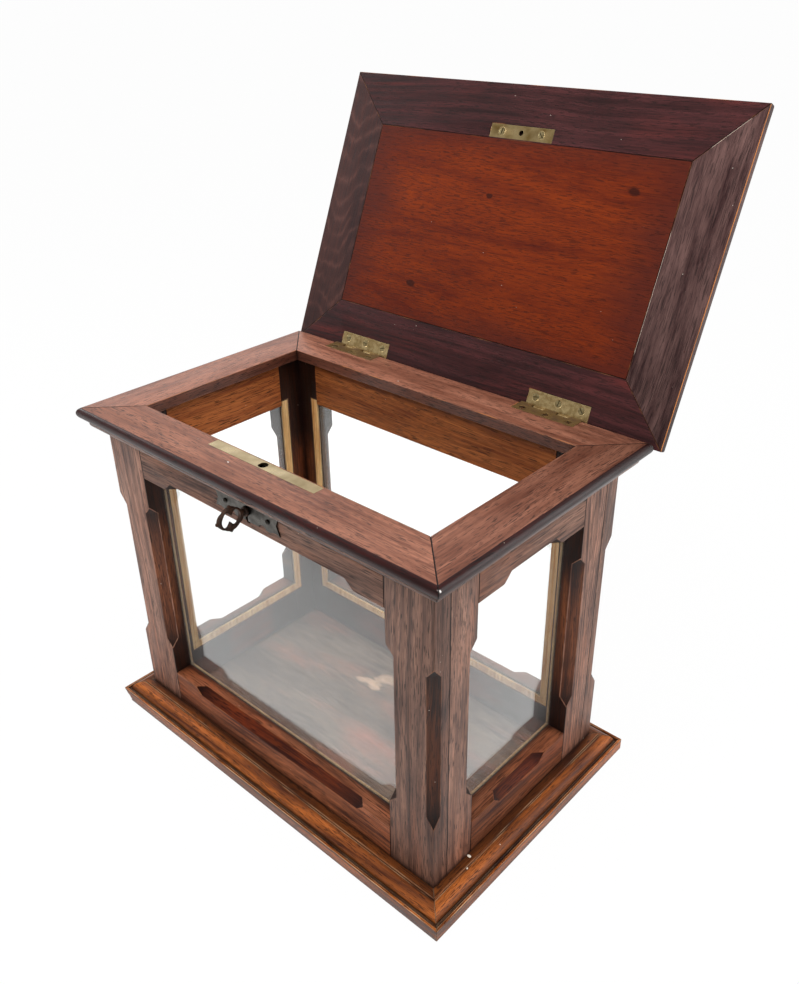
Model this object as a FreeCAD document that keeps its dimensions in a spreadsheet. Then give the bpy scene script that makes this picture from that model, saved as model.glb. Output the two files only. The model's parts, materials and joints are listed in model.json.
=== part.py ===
"""Glass display box: a glazed oak case on a moulded plinth, with a hinged lid and a box lock.

X runs to the right along the front, Y to the back and Z up. The origin is the middle of the underside.
All sizes are millimetres. The lid is modelled open, at the angle where its hinges stop.
"""
import FreeCAD
import Part
import Sketcher
import os

# Driving sizes: name, value, meaning.
SIZES = [
    ("case_width", 307.6, "outside of the left wall to outside of the right wall"),
    ("case_depth", 185.8, "outside of the front wall to outside of the back wall"),
    ("floor_thick", 6.0, "thickness of the floor board"),
    ("wall_height", 252.7, "height of the wall frames, standing on the floor board"),
    ("wall_lip", 13.6, "wood in front of the glass"),
    ("glass_thick", 2.0, "thickness of a pane"),
    ("bead_thick", 2.0, "thickness of a glazing bead"),
    ("front_stile_width", 37.3, "stiles of the front and back frames"),
    ("side_stile_width", 24.7, "stiles of the side frames"),
    ("top_rail_height", 36.1, "height of the four top rails"),
    ("bottom_rail_height", 39.3, "height of the four bottom rails"),
    ("tenon_length", 12.0, "tenon on each end of a rail"),
    ("tenon_thick", 5.0, "thickness of a tenon"),
    ("tenon_setback", 4.4, "outer face of a rail to its tenon"),
    ("tenon_shoulder", 7.0, "rail edge to tenon, above and below"),
    ("mortise_spare", 0.5, "empty depth at the bottom of a mortise"),
    ("rebate_width", 6.8, "rebate for glass and bead, measured from the opening"),
    ("glass_edge_gap", 0.4, "free space round the edge of a pane"),
    ("groove_depth", 4.2, "groove in a top rail that holds the top of a pane"),
    ("bead_width", 6.7, "face width of a glazing bead"),
    ("chamfer_leg", 6.4, "stopped chamfer round the openings"),
    ("chamfer_ramp", 7.0, "length of the slope at a chamfer stop"),
    ("chamfer_stop", 24.5, "corner of an opening to the chamfer stop"),
    ("corner_leg", 6.5, "stopped chamfer on the outer corners"),
    ("corner_ramp", 8.4, "length of the pointed end of a corner chamfer"),
    ("plinth_out", 18.6, "projection of the plinth from the walls"),
    ("plinth_height", 17.4, "height of the plinth"),
    ("fillet_height", 9.6, "square lower part of the plinth"),
    ("fillet_land", 1.8, "flat top of the square part"),
    ("quirk_out", 15.4, "projection of the bottom of the quirk"),
    ("quirk_height", 7.7, "height of the bottom of the quirk"),
    ("ovolo_out", 14.5, "projection of the foot of the ovolo"),
    ("ovolo_foot", 8.3, "height of the foot of the ovolo"),
    ("ovolo_back", 6.4, "projection of the top of the ovolo"),
    ("ovolo_top", 15.0, "height of the top of the ovolo"),
    ("ovolo_bulge", 2.0, "rise of the ovolo over its chord"),
    ("cap_out", 5.8, "projection of the small cap fillet"),
    ("bed_height", 7.2, "height of the bed moulding under the top"),
    ("bed_out", 9.0, "projection of the bed moulding"),
    ("bed_bulge", 3.0, "roundness of the bed moulding"),
    ("top_thick", 8.4, "thickness of the top frame"),
    ("top_out", 14.8, "projection of the top frame from the walls"),
    ("top_bulge", 3.2, "roundness of the top frame's nose"),
    ("top_inner_over", 3.5, "top frame past the inner faces of the walls"),
    ("lid_thick", 11.0, "thickness of the lid frame"),
    ("lid_border", 38.4, "width of the lid frame's boards"),
    ("lid_edge", 4.0, "square edge of the lid, under its moulding"),
    ("lid_round", 7.0, "width of the moulding on the lid's upper edge"),
    ("lid_bulge", 2.0, "rise of that moulding over its chord"),
    ("lid_side_over", 3.6, "lid past the top frame at each side"),
    ("lid_front_over", 2.5, "lid past the top frame at the front"),
    ("lid_back_over", 1.0, "lid past the hinge axis at the back"),
    ("lid_open_angle", 112.7, "degrees from closed to fully open"),
    ("panel_thick", 8.0, "thickness of the lid panel"),
    ("panel_gap", 0.1, "gap round the edge of the lid panel"),
    ("tongue_low", 3.4, "underside of the lid to the panel's tongue"),
    ("tongue_thick", 3.2, "thickness of the panel's tongue"),
    ("tongue_reach", 3.0, "reach of the panel's tongue"),
    ("tongue_spare", 0.3, "empty depth of the groove past the tongue"),
    ("hinge_length", 50.8, "length of a hinge"),
    ("hinge_left_inset", 71.6, "left end of the top frame to the middle of the left hinge"),
    ("hinge_right_inset", 78.6, "right end of the top frame to the middle of the right hinge"),
    ("hinge_set_in", 0.3, "hinge axis inside the nose of the top frame"),
    ("leaf_thick", 1.2, "thickness of a hinge leaf"),
    ("leaf_reach", 13.4, "hinge axis to the far edge of a leaf"),
    ("barrel_radius", 3.2, "radius of the hinge knuckles"),
    ("barrel_room", 0.5, "free space round the knuckles"),
    ("knuckle_gap", 0.3, "gap between two knuckles"),
    ("hinge_pin_radius", 1.5, "radius of a hinge pin"),
    ("pin_play", 0.05, "running clearance on a pin, radial"),
    ("web_half", 1.5, "half width of the web from lid leaf to knuckle"),
    ("leaf_screw_reach", 8.8, "hinge axis to the row of screws in a leaf"),
    ("leaf_screw_pitch", 18.8, "spacing of the screws in a leaf"),
    ("screw_head_radius", 2.9, "radius of a countersunk head"),
    ("screw_shank_radius", 1.3, "radius of a screw's shank"),
    ("screw_length", 7.2, "length of a screw over all"),
    ("screw_slot_width", 0.7, "width of the driver slot"),
    ("screw_slot_depth", 0.6, "depth of the driver slot"),
    ("screw_play", 0.02, "clearance round a screw, radial"),
    ("lock_line", 16.0, "front of the wall to the line of lock, strike and stud hole"),
    ("selvedge_length", 100.3, "length of the lock's face strip"),
    ("selvedge_width", 8.5, "width of the lock's face strip"),
    ("selvedge_thick", 1.6, "thickness of the lock's face strip"),
    ("stud_hole_radius", 3.3, "hole in the face strip for the lid's stud"),
    ("lock_width", 58.0, "width of the lock case"),
    ("lock_height", 35.5, "height of the lock case under its face strip"),
    ("lock_depth", 7.0, "depth of the lock case"),
    ("lock_sheet", 1.0, "sheet thickness of the lock case and cap"),
    ("key_drop", 25.6, "top of the case to the key's axis"),
    ("bolt_play", 0.2, "clearance round the bolt"),
    ("bolt_length", 45.0, "length of the bolt"),
    ("bolt_height", 18.0, "height of the bolt"),
    ("bolt_travel", 6.0, "travel of the bolt"),
    ("talon_width", 20.0, "notch under the bolt that the key's bit turns through"),
    ("talon_depth", 5.6, "depth of that notch"),
    ("hook_gap", 9.0, "gap in the bolt for the stud"),
    ("hook_depth", 7.0, "depth of that gap"),
    ("strike_length", 54.4, "length of the strike plate"),
    ("strike_width", 9.7, "width of the strike plate"),
    ("strike_thick", 1.2, "thickness of the strike plate"),
    ("strike_hole_radius", 1.9, "hole for the stud's rivet"),
    ("strike_hole_depth", 4.0, "depth of that hole into the lid"),
    ("strike_screw_pitch", 34.2, "spacing of the strike plate's screws"),
    ("plate_half_length", 31.0, "middle of the escutcheon to its tips"),
    ("plate_half_height", 7.2, "middle of the escutcheon to its long edges"),
    ("plate_thick", 1.0, "thickness of the escutcheon"),
    ("plate_scoop_start", 11.0, "middle of the escutcheon to its inner scoops"),
    ("plate_scoop_width", 7.5, "width of an inner scoop"),
    ("plate_scoop_depth", 2.4, "depth of a scoop"),
    ("plate_lobe_width", 4.0, "lobe between the scoops, where the pin sits"),
    ("plate_tail", 2.9, "depth of the notch in an end"),
    ("plate_pin_reach", 20.5, "middle of the escutcheon to its pins"),
    ("plate_pin_radius", 0.8, "radius of an escutcheon pin"),
    ("plate_pin_head", 1.7, "radius of a pin's round head"),
    ("plate_pin_length", 8.0, "length of a pin in the wood"),
    ("keyhole_radius", 2.7, "round part of the keyhole"),
    ("keyhole_slot", 2.4, "width of the keyhole's slot"),
    ("keyhole_drop", 8.6, "key's axis to the bottom of the slot"),
    ("rail_hole_room", 0.5, "keyhole through the rail, past the one in the plate"),
    ("shank_radius", 2.25, "radius of the key's shank"),
    ("drill_pin_radius", 1.1, "radius of the pin that the key turns on"),
    ("drill_pin_length", 9.0, "length of that pin from the lock cap"),
    ("key_bore_depth", 10.0, "depth of the bore in the key's end"),
    ("key_end_gap", 0.5, "end of the key to the lock cap"),
    ("bit_drop", 8.0, "key's axis to the edge of the bit"),
    ("bit_thick", 1.8, "thickness of the bit"),
    ("bit_width", 3.4, "width of the bit along the key"),
    ("bit_back", 0.3, "end of the key to the bit"),
    ("collar_radius", 3.3, "radius of the key's collar"),
    ("collar_width", 1.4, "width of the key's collar"),
    ("collar_gap", 0.3, "escutcheon to the key's collar"),
    ("neck_length", 1.2, "collar to the bow"),
    ("bow_half_length", 9.6, "half the length of the key's bow"),
    ("bow_half_height", 7.8, "half the height of the key's bow"),
    ("bow_thick", 3.0, "thickness of the bow"),
    ("bow_rim", 2.2, "width of the bow's rim"),
    ("bow_cusp_gap", 1.0, "overlap of the two openings, between the cusps"),
    ("bow_knob_radius", 1.25, "radius of the small knobs on the bow"),
    ("bow_knob_out", 0.5, "middle of a knob past the bow's edge"),
    ("tool_margin", 2.0, "how far a cutting shape reaches past what it cuts"),
]
KNUCKLES = 5
LEAF_SCREWS = 3

doc = FreeCAD.newDocument("GlassDisplayBox")
sheet = doc.addObject("Spreadsheet::Sheet", "Sizes")
for row, (alias, value, meaning) in enumerate(SIZES, start=1):
    sheet.set("A%d" % row, meaning)
    sheet.set("B%d" % row, str(value))
    sheet.setAlias("B%d" % row, alias)
doc.recompute()


class Length:
    """A size that keeps its value together with the sheet formula that gives it."""

    def __init__(self, value, formula):
        self.value = value
        self.formula = formula

    def __add__(self, other):
        other = as_length(other)
        return Length(self.value + other.value, "(%s + %s)" % (self.formula, other.formula))

    def __sub__(self, other):
        other = as_length(other)
        return Length(self.value - other.value, "(%s - %s)" % (self.formula, other.formula))

    def __mul__(self, other):
        other = as_length(other)
        return Length(self.value * other.value, "(%s * %s)" % (self.formula, other.formula))

    def __truediv__(self, other):
        other = as_length(other)
        return Length(self.value / other.value, "(%s / %s)" % (self.formula, other.formula))

    def __radd__(self, other):
        return as_length(other) + self

    def __rsub__(self, other):
        return as_length(other) - self

    def __rmul__(self, other):
        return as_length(other) * self

    def __neg__(self):
        return as_length(0.0) - self


def as_length(number):
    """A plain number, or a size that is one already, as a Length."""
    if isinstance(number, Length):
        return number
    return Length(float(number), repr(float(number)))


def root(length):
    """Square root of a size."""
    return Length(length.value ** 0.5, "sqrt(%s)" % length.formula)


def size(alias):
    """The size that the sheet holds under this name."""
    return Length(float(sheet.get(alias)), "Sizes." + alias)


pieces = []


def piece(node, shape_object):
    """Name a finished piece, so that it is checked and written."""
    shape_object.Label = node
    pieces.append(shape_object)
    return shape_object


def bind(target, prop, length):
    """Tie one property of an object to the sheet."""
    target.setExpression(prop, as_length(length).formula)


def place(target, x, y, z):
    """Tie an object's position to the sheet."""
    bind(target, "Placement.Base.x", x)
    bind(target, "Placement.Base.y", y)
    bind(target, "Placement.Base.z", z)


def box(name, x_span, y_span, z_span):
    """A block from its lowest and highest place along each axis."""
    block = doc.addObject("Part::Box", name)
    bind(block, "Length", x_span[1] - x_span[0])
    bind(block, "Width", y_span[1] - y_span[0])
    bind(block, "Height", z_span[1] - z_span[0])
    place(block, x_span[0], y_span[0], z_span[0])
    return block


AXIS_TURNS = {
    "+x": FreeCAD.Rotation(FreeCAD.Vector(0, 0, 1), FreeCAD.Vector(1, 0, 0)),
    "+y": FreeCAD.Rotation(FreeCAD.Vector(0, 0, 1), FreeCAD.Vector(0, 1, 0)),
    "+z": FreeCAD.Rotation(),
    "-z": FreeCAD.Rotation(FreeCAD.Vector(1, 0, 0), 180),
}


def cylinder(name, radius, length, start, axis):
    """A round bar that starts at a point and runs along an axis."""
    bar = doc.addObject("Part::Cylinder", name)
    bind(bar, "Radius", radius)
    bind(bar, "Height", length)
    bar.Placement.Rotation = AXIS_TURNS[axis]
    place(bar, *start)
    return bar


def cone(name, start_radius, end_radius, length, start, axis):
    """A tapered bar that starts at a point and runs along an axis."""
    taper = doc.addObject("Part::Cone", name)
    bind(taper, "Radius1", start_radius)
    bind(taper, "Radius2", end_radius)
    bind(taper, "Height", length)
    taper.Placement.Rotation = AXIS_TURNS[axis]
    place(taper, *start)
    return taper


def sphere(name, radius, middle):
    """A ball about a point."""
    ball = doc.addObject("Part::Sphere", name)
    bind(ball, "Radius", radius)
    place(ball, *middle)
    return ball


def fuse(name, shapes):
    """Several shapes made one."""
    joined = doc.addObject("Part::MultiFuse", name)
    joined.Shapes = shapes
    joined.Refine = True
    return joined


def cut(name, base, tools):
    """A shape with every tool taken away from it."""
    tool = tools[0]
    if len(tools) > 1:
        tool = fuse(name + "_tools", tools)
    result = doc.addObject("Part::Cut", name)
    result.Base = base
    result.Tool = tool
    return result


def group(name, shapes):
    """Separate solids that share one node."""
    together = doc.addObject("Part::Compound", name)
    together.Links = shapes
    return together


def origin_plane(body, role):
    """One of a body's own three planes."""
    for feature in body.Origin.OriginFeatures:
        if feature.Role == role:
            return feature
    raise ValueError("no plane called " + role)


def new_sketch(body, name, role, offset):
    """A sketch on one of the body's planes, moved along the plane's normal."""
    sketch = body.newObject("Sketcher::SketchObject", name)
    sketch.AttachmentSupport = [(origin_plane(body, role), "")]
    sketch.MapMode = "FlatFace"
    bind(sketch, "AttachmentOffset.Base.z", offset)
    return sketch


def fix_point(sketch, geometry, end, point):
    """Hold a sketch point at a place that the sheet gives."""
    for kind, length in (("DistanceX", point[0]), ("DistanceY", point[1])):
        length = as_length(length)
        constraint = Sketcher.Constraint(kind, -1, 1, geometry, end, length.value)
        index = sketch.addConstraint(constraint)
        sketch.setExpression("Constraints[%d]" % index, length.formula)


def sketch_point(point):
    """A sketch place at its present value."""
    return FreeCAD.Vector(as_length(point[0]).value, as_length(point[1]).value, 0)


def arc_over(first, last, bulge):
    """An arc over a chord. It swells to the right of the way from first to last, or left if negative."""
    start = sketch_point(first)
    end = sketch_point(last)
    chord = end - start
    side = FreeCAD.Vector(chord.y, -chord.x, 0).normalize()
    crown = (start + end) * 0.5 + side * bulge.value
    if bulge.value > 0:
        return Part.ArcOfCircle(start, crown, end)
    return Part.ArcOfCircle(end, crown, start)


def arc_radius(first, last, bulge):
    """Radius of the arc that rises by bulge over the chord."""
    across = last[0] - first[0]
    along = last[1] - first[1]
    half_chord_squared = (across * across + along * along) / 4
    radius = (half_chord_squared + bulge * bulge) / (2 * bulge)
    if bulge.value < 0:
        return -radius
    return radius


def draw_outline(sketch, points):
    """Draw a closed outline. A point is (x, y), or (x, y, bulge) where an arc leads to it."""
    ends = []
    for index, point in enumerate(points):
        before = points[index - 1]
        if len(point) == 3:
            geometry = sketch.addGeometry(arc_over(before, point, point[2]))
            ends.append((geometry, 1, 2) if point[2].value > 0 else (geometry, 2, 1))
            radius = arc_radius(before, point, point[2])
            held = sketch.addConstraint(Sketcher.Constraint("Radius", geometry, radius.value))
            sketch.setExpression("Constraints[%d]" % held, radius.formula)
        else:
            geometry = sketch.addGeometry(Part.LineSegment(sketch_point(before), sketch_point(point)))
            ends.append((geometry, 1, 2))
    for index, point in enumerate(points):
        here = ends[index]
        following = ends[(index + 1) % len(points)]
        sketch.addConstraint(Sketcher.Constraint("Coincident", here[0], here[2], following[0], following[1]))
        fix_point(sketch, here[0], here[2], point)


def pad_both_ways(body, sketch, length):
    """Thicken a sketch evenly to both sides."""
    pad = body.newObject("PartDesign::Pad", sketch.Name + "_pad")
    pad.Profile = sketch
    pad.SideType = "Symmetric"
    bind(pad, "Length", length)
    return pad


def pocket_through(body, sketch):
    """Cut a sketch right through the body, both ways."""
    pocket = body.newObject("PartDesign::Pocket", sketch.Name + "_cut")
    pocket.Profile = sketch
    pocket.SideType = "Symmetric"
    pocket.Type = "ThroughAll"
    return pocket


# Places worked out from the driving sizes.
half_width = size("case_width") / 2
half_depth = size("case_depth") / 2
wall_thick = size("wall_lip") + size("glass_thick") + size("bead_thick")
floor_top = size("floor_thick")
wall_top = floor_top + size("wall_height")
opening_low = floor_top + size("bottom_rail_height")
opening_high = wall_top - size("top_rail_height")
case_top = wall_top + size("top_thick")
margin = size("tool_margin")

# Each wall: which way its length and its depth run, and where its outer face is.
SIDES = {
    "front": ("x", -1),
    "back": ("x", 1),
    "left": ("y", -1),
    "right": ("y", 1),
}


class Wall:
    """One side of the case, measured along the wall, inwards from its outer face, and up."""

    def __init__(self, side):
        self.side = side
        self.along, self.sign = SIDES[side]
        if self.along == "x":
            self.face = half_depth
            self.half_length = half_width
            self.stile_width = size("front_stile_width")
        else:
            self.face = half_width
            self.half_length = half_depth - size("wall_lip")
            self.stile_width = size("side_stile_width")
        self.opening = self.half_length - self.stile_width

    def across(self, inward):
        """Place across the wall, from a distance inwards of its outer face."""
        return self.sign * (self.face - inward)

    def box(self, name, along_span, inward_span, z_span):
        """A block given along the wall, inwards and up."""
        edges = [self.across(inward_span[0]), self.across(inward_span[1])]
        edges.sort(key=lambda edge: edge.value)
        if self.along == "x":
            return box(name, along_span, edges, z_span)
        return box(name, edges, along_span, z_span)

    def point(self, along, inward, z):
        """A place given along the wall, inwards and up."""
        if self.along == "x":
            return (along, self.across(inward), z)
        return (self.across(inward), along, z)

    def direction(self, along, inward, up):
        """A direction given along the wall, inwards and up."""
        if self.along == "x":
            return FreeCAD.Vector(along, -self.sign * inward, up)
        return FreeCAD.Vector(-self.sign * inward, along, up)


def stopped_chamfer(name, middle, run, inwards, half_run, leg, ramp):
    """Cutter for a chamfer on one arris, ending in a slope at both stops.

    run is the way of the arris and inwards the way to the middle of the wood.
    """
    depth = leg / (2 ** 0.5)
    outside = depth
    spread = ramp * outside / depth
    cutter = doc.addObject("Part::Wedge", name)
    bind(cutter, "Xmin", -2 * leg)
    bind(cutter, "Xmax", 2 * leg)
    bind(cutter, "X2min", -2 * leg)
    bind(cutter, "X2max", 2 * leg)
    bind(cutter, "Ymin", -outside)
    bind(cutter, "Ymax", depth)
    bind(cutter, "Zmin", -half_run - spread)
    bind(cutter, "Zmax", half_run + spread)
    bind(cutter, "Z2min", ramp - half_run)
    bind(cutter, "Z2max", half_run - ramp)
    sideways = inwards.cross(run)
    cutter.Placement.Rotation = FreeCAD.Rotation(sideways, inwards, run, "ZYX")
    place(cutter, *middle)
    return cutter


def build_stile(wall, end):
    """An upright of a wall frame. end is -1 or 1 along the wall."""
    name = "%s_%s_stile" % (wall.side, end_name(wall, end))
    inner = end * wall.opening
    outer = end * wall.half_length
    wood = wall.box(name + "_wood", span(inner, outer), (as_length(0), wall_thick), (floor_top, wall_top))
    middle_z = (opening_low + opening_high) / 2
    half_run = (opening_high - opening_low) / 2 - size("chamfer_stop")
    up = FreeCAD.Vector(0, 0, 1)
    tools = [
        wall.box(
            name + "_rebate",
            span(inner - end * margin, inner + end * size("rebate_width")),
            (size("wall_lip"), wall_thick + margin),
            (opening_low - size("rebate_width"), opening_high + size("groove_depth")),
        ),
        stopped_chamfer(
            name + "_chamfer",
            wall.point(inner, as_length(0), middle_z),
            up,
            wall.direction(end, 1, 0),
            half_run,
            size("chamfer_leg"),
            size("chamfer_ramp"),
        ),
    ]
    for rail, rail_span in (("bottom", (floor_top, opening_low)), ("top", (opening_high, wall_top))):
        tools.append(
            wall.box(
                "%s_%s_mortise" % (name, rail),
                span(inner - end * margin, inner + end * (size("tenon_length") + size("mortise_spare"))),
                (size("tenon_setback"), size("tenon_setback") + size("tenon_thick")),
                (rail_span[0] + size("tenon_shoulder"), rail_span[1] - size("tenon_shoulder")),
            )
        )
    if wall.along == "x":
        tools.append(
            wall.box(
                name + "_corner_rebate",
                span(outer - end * wall_thick, outer + end * margin),
                (size("wall_lip"), wall_thick + margin),
                (floor_top - margin, wall_top + margin),
            )
        )
        tools.append(
            stopped_chamfer(
                name + "_corner_chamfer",
                wall.point(outer, as_length(0), middle_z),
                up,
                wall.direction(-end, 1, 0),
                half_run,
                size("corner_leg"),
                size("corner_ramp"),
            )
        )
    return piece(name, cut(name, wood, tools))


def end_name(wall, end):
    """Name of one end of a wall."""
    if wall.along == "x":
        return "left" if end < 0 else "right"
    return "front" if end < 0 else "back"


def span(first, second):
    """Two places in rising order."""
    first = as_length(first)
    second = as_length(second)
    return (first, second) if first.value < second.value else (second, first)


def build_rail(wall, rail):
    """A rail of a wall frame, with a tenon on each end."""
    name = "%s_%s_rail" % (wall.side, rail)
    z_span = (floor_top, opening_low) if rail == "bottom" else (opening_high, wall_top)
    edge = opening_low if rail == "bottom" else opening_high
    up = -1 if rail == "bottom" else 1
    tenon_end = wall.opening + size("tenon_length")
    wood = fuse(
        name + "_wood",
        [
            wall.box(name + "_bar", (-wall.opening, wall.opening), (as_length(0), wall_thick), z_span),
            wall.box(
                name + "_tenons",
                (-tenon_end, tenon_end),
                (size("tenon_setback"), size("tenon_setback") + size("tenon_thick")),
                (z_span[0] + size("tenon_shoulder"), z_span[1] - size("tenon_shoulder")),
            ),
        ],
    )
    if rail == "bottom":
        glass_slot = wall.box(
            name + "_rebate",
            (-wall.opening - margin, wall.opening + margin),
            (size("wall_lip"), wall_thick + margin),
            (edge - size("rebate_width"), edge + margin),
        )
    else:
        glass_slot = wall.box(
            name + "_groove",
            (-wall.opening - margin, wall.opening + margin),
            (size("wall_lip"), size("wall_lip") + size("glass_thick")),
            (edge - margin, edge + size("groove_depth")),
        )
    chamfer = stopped_chamfer(
        name + "_chamfer",
        wall.point(as_length(0), as_length(0), edge),
        wall.direction(1, 0, 0),
        wall.direction(0, 1, up),
        wall.opening - size("chamfer_stop"),
        size("chamfer_leg"),
        size("chamfer_ramp"),
    )
    tools = [glass_slot, chamfer]
    if name == "front_top_rail":
        tools += keyhole_tools(name, size("rail_hole_room"), (-half_depth - margin, lock_front + margin))
        tools += plate_pin_holes(name)
        tools.append(lock_room(name))
    return piece(name, cut(name, wood, tools))


def build_glazing(wall):
    """The pane of a wall, and the three beads that hold it."""
    side_room = size("rebate_width") - size("glass_edge_gap")
    pane_half = wall.opening + side_room
    glass_back = size("wall_lip") + size("glass_thick")
    pane = wall.box(
        wall.side + "_glass",
        (-pane_half, pane_half),
        (size("wall_lip"), glass_back),
        (opening_low - side_room, opening_high + size("groove_depth") - size("glass_edge_gap")),
    )
    piece(wall.side + "_glass", pane)
    bead_half = wall.opening + size("bead_width")
    beads = [
        wall.box(
            wall.side + "_bottom_bead",
            (-bead_half, bead_half),
            (glass_back, wall_thick),
            (opening_low - size("bead_width"), opening_low),
        )
    ]
    for end in (-1, 1):
        beads.append(
            wall.box(
                "%s_%s_bead" % (wall.side, end_name(wall, end)),
                span(end * wall.opening, end * bead_half),
                (glass_back, wall_thick),
                (opening_low, opening_high + size("groove_depth")),
            )
        )
    piece(wall.side + "_beads", group(wall.side + "_beads", beads))


def mitred_length(name, side, half_along, half_across, centre_y, profile):
    """One of four mitred lengths round a rectangle.

    profile holds (out, z) or (out, z, bulge), with out measured outwards from the rectangle.
    """
    along, sign = SIDES[side]
    body = doc.addObject("PartDesign::Body", name + "_body")
    least = min((point[0] for point in profile), key=lambda out: out.value)
    most = max((point[0] for point in profile), key=lambda out: out.value)
    bulges = [point[2] for point in profile if len(point) == 3]
    for bulge in bulges:
        most = most + bulge
    drawn = []
    for point in profile:
        across = sign * (half_across + point[0])
        if along == "x":
            across = across + centre_y
        corner = (across, point[1])
        if len(point) == 3:
            corner = corner + (sign * point[2],)
        drawn.append(corner)
    if along == "x":
        outline = new_sketch(body, name + "_profile", "YZ_Plane", as_length(0))
    else:
        outline = new_sketch(body, name + "_profile", "XZ_Plane", -centre_y)
    draw_outline(outline, drawn)
    pad_both_ways(body, outline, 2 * (half_along + most))
    ends = new_sketch(body, name + "_mitres", "XY_Plane", as_length(0))
    for end in (-1, 1):
        waste = [
            (half_along + least - margin, half_across + least - margin),
            (half_along + most + margin, half_across + most + margin),
            (half_along + most + margin, half_across + least - margin),
        ]
        corners = []
        for run, across in waste:
            if along == "x":
                corners.append((end * run, centre_y + sign * across))
            else:
                corners.append((sign * across, centre_y + end * run))
        draw_outline(ends, corners)
    pocket_through(body, ends)
    return body


def around_case(name, centre_y, half_x, half_y, profile):
    """The four mitred lengths of one frame or moulding, by side."""
    lengths = {}
    for side, (along, sign) in SIDES.items():
        half_along, half_across = (half_x, half_y) if along == "x" else (half_y, half_x)
        lengths[side] = mitred_length(name + "_" + side, side, half_along, half_across, centre_y, profile)
    return lengths


def build_floor():
    """The floor board, which the walls stand on."""
    board = box("floor_board", (-half_width, half_width), (-half_depth, half_depth), (as_length(0), floor_top))
    piece("floor_board", board)


def build_plinth():
    """The moulding planted round the foot of the case: square fillet, quirk, ovolo and cap."""
    zero = as_length(0)
    profile = [
        (zero, zero),
        (size("plinth_out"), zero),
        (size("plinth_out"), size("fillet_height")),
        (size("plinth_out") - size("fillet_land"), size("fillet_height")),
        (size("quirk_out"), size("quirk_height")),
        (size("ovolo_out"), size("ovolo_foot")),
        (size("ovolo_back"), size("ovolo_top"), size("ovolo_bulge")),
        (size("cap_out"), size("ovolo_top")),
        (size("cap_out"), size("plinth_height")),
        (zero, size("plinth_height")),
    ]
    for side, body in around_case("plinth", zero, half_width, half_depth, profile).items():
        piece("plinth_" + side, body)


def build_bed_moulding():
    """The half-round strip under the overhang of the top."""
    zero = as_length(0)
    flat = size("bed_out") - size("bed_bulge")
    profile = [
        (zero, wall_top - size("bed_height")),
        (flat, wall_top - size("bed_height")),
        (flat, wall_top, size("bed_bulge")),
        (zero, wall_top),
    ]
    for side, body in around_case("bed_moulding", zero, half_width, half_depth, profile).items():
        piece("bed_moulding_" + side, body)


def build_top_frame():
    """The flat frame on the walls, with a rounded nose and room for the lock and the hinges."""
    flat = size("top_out") - size("top_bulge")
    inner = -(wall_thick + size("top_inner_over"))
    profile = [
        (inner, wall_top),
        (flat, wall_top),
        (flat, case_top, size("top_bulge")),
        (inner, case_top),
    ]
    boards = around_case("top_frame", as_length(0), half_width, half_depth, profile)
    name = "top_frame_front"
    selvedge_seat = box(
        name + "_selvedge_seat",
        (-size("selvedge_length") / 2, size("selvedge_length") / 2),
        (selvedge_front, selvedge_front + size("selvedge_width")),
        (case_top - size("selvedge_thick"), case_top + margin),
    )
    piece(name, cut(name, boards["front"], [selvedge_seat, lock_room(name)]))
    name = "top_frame_back"
    tools = []
    for hinge, middle in HINGES:
        ends = (middle - size("hinge_length") / 2, middle + size("hinge_length") / 2)
        tools.append(
            box(
                "%s_%s_leaf_seat" % (name, hinge),
                ends,
                (axis_y - size("leaf_reach"), axis_y + margin),
                (case_top - size("leaf_thick"), case_top + margin),
            )
        )
        tools.append(
            box(
                "%s_%s_barrel_room" % (name, hinge),
                (ends[0] - size("barrel_room"), ends[1] + size("barrel_room")),
                (axis_y - size("barrel_radius") - size("barrel_room"), axis_y + size("top_out")),
                (wall_top - margin, case_top + margin),
            )
        )
        for index in range(LEAF_SCREWS):
            place_x = leaf_screw_x(middle, index)
            hole = screw_hole("%s_%s_hole_%d" % (name, hinge, index), place_x, leaf_screw_y, case_top, "-z")
            tools.append(hole)
    piece(name, cut(name, boards["back"], tools))
    piece("top_frame_left", boards["left"])
    piece("top_frame_right", boards["right"])


# The hinge axis, and the lid measured from it with the lid closed.
top_half_width = half_width + size("top_out")
axis_y = half_depth + size("top_out") - size("hinge_set_in")
axis_z = wall_top + size("top_thick") / 2
HINGES = [
    ("left", size("hinge_left_inset") - top_half_width),
    ("right", top_half_width - size("hinge_right_inset")),
]
leaf_screw_y = axis_y - size("leaf_screw_reach")
lid_under = case_top - axis_z
lid_half_width = top_half_width + size("lid_side_over")
lid_back = size("lid_back_over")
lid_front = -(half_depth + size("top_out") + size("lid_front_over")) - axis_y
lid_half_depth = (lid_back - lid_front) / 2
lid_middle = (lid_back + lid_front) / 2


def leaf_screw_x(middle, index):
    """Place of one screw in a hinge leaf's row."""
    return middle + (index - (LEAF_SCREWS - 1) / 2) * size("leaf_screw_pitch")


def open_lid(target):
    """Turn a piece that is drawn closed about the hinge axis to the open lid's place."""
    target.Placement.Rotation = FreeCAD.Rotation(FreeCAD.Vector(-1, 0, 0), 1)
    bind(target, "Placement.Rotation.Angle", size("lid_open_angle"))
    place(target, as_length(0), axis_y, axis_z)
    return target


def screw_hole(name, x, y, z, axis):
    """Round hole for a screw's shank, with the head's place on top."""
    reach = size("screw_length") + size("screw_play")
    return cylinder(name, size("screw_shank_radius") + size("screw_play"), reach, (x, y, z), axis)


def countersink(name, x, y, z, axis, depth):
    """Tapered hole through a plate for a countersunk head."""
    wide = size("screw_head_radius") + size("screw_play")
    narrow = size("screw_shank_radius") + size("screw_play")
    return cone(name, wide, narrow, depth, (x, y, z), axis)


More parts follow.
